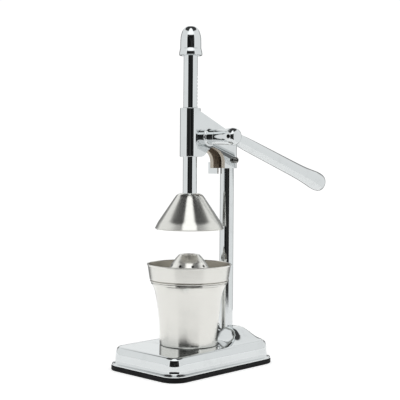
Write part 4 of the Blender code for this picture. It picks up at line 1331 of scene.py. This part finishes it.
class PRESS_OT_studio(bpy.types.Operator):
    """Make the floor, the soft studio surround and the camera."""

    bl_idname = "citrus_press.studio"
    bl_label = "Studio"

    def execute(self, context):
        self.make_floor()
        self.make_surround()
        self.make_camera()
        context.scene.view_settings.view_transform = "Standard"
        return {"FINISHED"}

    def make_floor(self):
        rings, spokes, radius = 8, 96, 0.42
        points = [(0.0, 0.0, 0.0)]
        for ring in range(1, rings + 1):
            for spoke in range(spokes):
                angle = math.tau * spoke / spokes
                points.append((radius * ring / rings * math.cos(angle),
                               radius * ring / rings * math.sin(angle), 0.0))
        faces = [(0, 1 + spoke, 1 + (spoke + 1) % spokes) for spoke in range(spokes)]
        for ring in range(rings - 1):
            near, far = 1 + ring * spokes, 1 + (ring + 1) * spokes
            for spoke in range(spokes):
                after = (spoke + 1) % spokes
                faces.append((near + spoke, far + spoke, far + after, near + after))
        floor = make_piece("studio_floor", points, faces)
        if floor.data.polygons[0].normal.z < 0:
            floor.data.flip_normals()
        material = bpy.data.materials.new("pale floor")
        material.use_nodes = True
        dress(material.node_tree, Base_Color=(0.9, 0.9, 0.895, 1.0), Roughness=0.9,
              Specular_IOR_Level=0.1, Emission_Color=WHITE, Emission_Strength=FLOOR_GLOW)
        floor.data.materials.append(material)

    def make_surround(self):
        """Angles are in degrees: around from the side that faces the camera, above the horizon."""
        world = bpy.data.worlds.new("studio surround")
        bpy.context.scene.world = world
        world.use_nodes = True
        tree = world.node_tree
        tree.nodes.clear()
        direction = tree.nodes.new("ShaderNodeTexCoord").outputs["Generated"]
        turn = add_node(tree, "ShaderNodeVectorRotate", {"rotation_type": "Z_AXIS"},
                        Vector=direction, Angle=math.pi / 2 - CAMERA_TURN)
        x, y, z = add_node(tree, "ShaderNodeSeparateXYZ", Vector=turn.outputs[0]).outputs
        around = maths(tree, "ABSOLUTE", maths(tree, "ARCTAN2", y, x))
        above = maths(tree, "ARCSINE", z)

        def between(value, start, end, from_level=0.0, to_level=1.0):
            return ranged(tree, value, math.radians(start), math.radians(end), from_level, to_level)

        def past(value, edge, softness):
            return between(value, edge - softness, edge + softness)

        def before(value, edge, softness):
            return maths(tree, "SUBTRACT", 1.0, past(value, edge, softness))

        def blended(level, new_level, *masks):
            mask = masks[0]
            for other in masks[1:]:
                mask = maths(tree, "MULTIPLY", mask, other)
            gap = maths(tree, "SUBTRACT", new_level, level)
            return maths(tree, "ADD", level, maths(tree, "MULTIPLY", gap, mask))

        level = between(around, 44, 50, SIDE_LEVEL, WALL_LEVEL)
        level = blended(level, CEILING_LEVEL, past(above, 44, 3))
        level = blended(level, CARD_LEVEL, before(around, 32, 3), past(above, 28, 2),
                        before(above, 79, 3))
        dim = ranged(tree, noise(tree, direction, 5.0, 2.0), 0.4, 0.7, *OPENING_LEVELS)
        level = blended(level, dim, before(around, 41, 2), before(above, 28, 2))
        crest = between(around, 160, 172, math.radians(24), math.radians(9.3))
        level = blended(level, BEHIND_LEVEL, past(around, 138, 12),
                        before(maths(tree, "SUBTRACT", above, crest), 0, 1.6))
        room = add_node(tree, "ShaderNodeBackground", Color=(0.985, 1.0, 1.0, 1.0), Strength=level)
        backdrop = add_node(tree, "ShaderNodeBackground", Color=WHITE, Strength=BACKDROP_LEVEL)
        path = tree.nodes.new("ShaderNodeLightPath")
        choose = tree.nodes.new("ShaderNodeMixShader")
        for socket, value in zip(choose.inputs, (path.outputs["Is Camera Ray"], room.outputs[0],
                                                 backdrop.outputs[0])):
            feed(tree, socket, value)
        tree.links.new(choose.outputs[0], tree.nodes.new("ShaderNodeOutputWorld").inputs["Surface"])

    def make_camera(self):
        data = bpy.data.cameras.new("camera")
        camera = bpy.data.objects.new("camera", data)
        bpy.context.scene.collection.objects.link(camera)
        data.lens = 85.0
        data.sensor_width = 36.0
        data.shift_x = 0.0251
        data.shift_y = -0.0932
        turn = (Matrix.Rotation(CAMERA_TURN, 4, "Z") @ Matrix.Rotation(math.radians(90), 4, "X")
                @ Matrix.Rotation(CAMERA_ROLL, 4, "Z"))
        place = Vector((math.sin(CAMERA_TURN) * CAMERA_DISTANCE,
                        ROD_Y - math.cos(CAMERA_TURN) * CAMERA_DISTANCE, CAMERA_HEIGHT))
        camera.matrix_world = Matrix.Translation(place) @ turn
        bpy.context.scene.camera = camera


# ---------------------------------------------------------------- panel and registration

STEPS = ("base", "column", "bracket", "fasteners", "lever", "press", "cup", "strainer", "finishes",
         "studio")


class PRESS_PT_panel(bpy.types.Panel):
    """Lists the press's sizes, colours and building steps."""

    bl_idname = "PRESS_PT_panel"
    bl_label = "Citrus Press"
    bl_space_type = "VIEW_3D"
    bl_region_type = "UI"
    bl_category = "Citrus Press"

    def draw(self, context):
        layout = self.layout
        for group in (context.scene.press_sizes, context.scene.press_colours):
            box = layout.box()
            for name in group.__annotations__:
                box.prop(group, name)
        for step in STEPS:
            layout.operator("citrus_press." + step)


CLASSES = (PressSizes, PressColours, PRESS_OT_base, PRESS_OT_column, PRESS_OT_bracket,
           PRESS_OT_fasteners, PRESS_OT_lever, PRESS_OT_press, PRESS_OT_cup, PRESS_OT_strainer,
           PRESS_OT_finishes, PRESS_OT_studio, PRESS_PT_panel)


def register():
    for item in CLASSES:
        bpy.utils.register_class(item)
    bpy.types.Scene.press_sizes = PointerProperty(type=PressSizes)
    bpy.types.Scene.press_colours = PointerProperty(type=PressColours)


def unregister():
    del bpy.types.Scene.press_colours
    del bpy.types.Scene.press_sizes
    for item in reversed(CLASSES):
        bpy.utils.unregister_class(item)


def main():
    register()
    for step in STEPS:
        getattr(bpy.ops.citrus_press, step)()


if __name__ == "__main__":
    main()
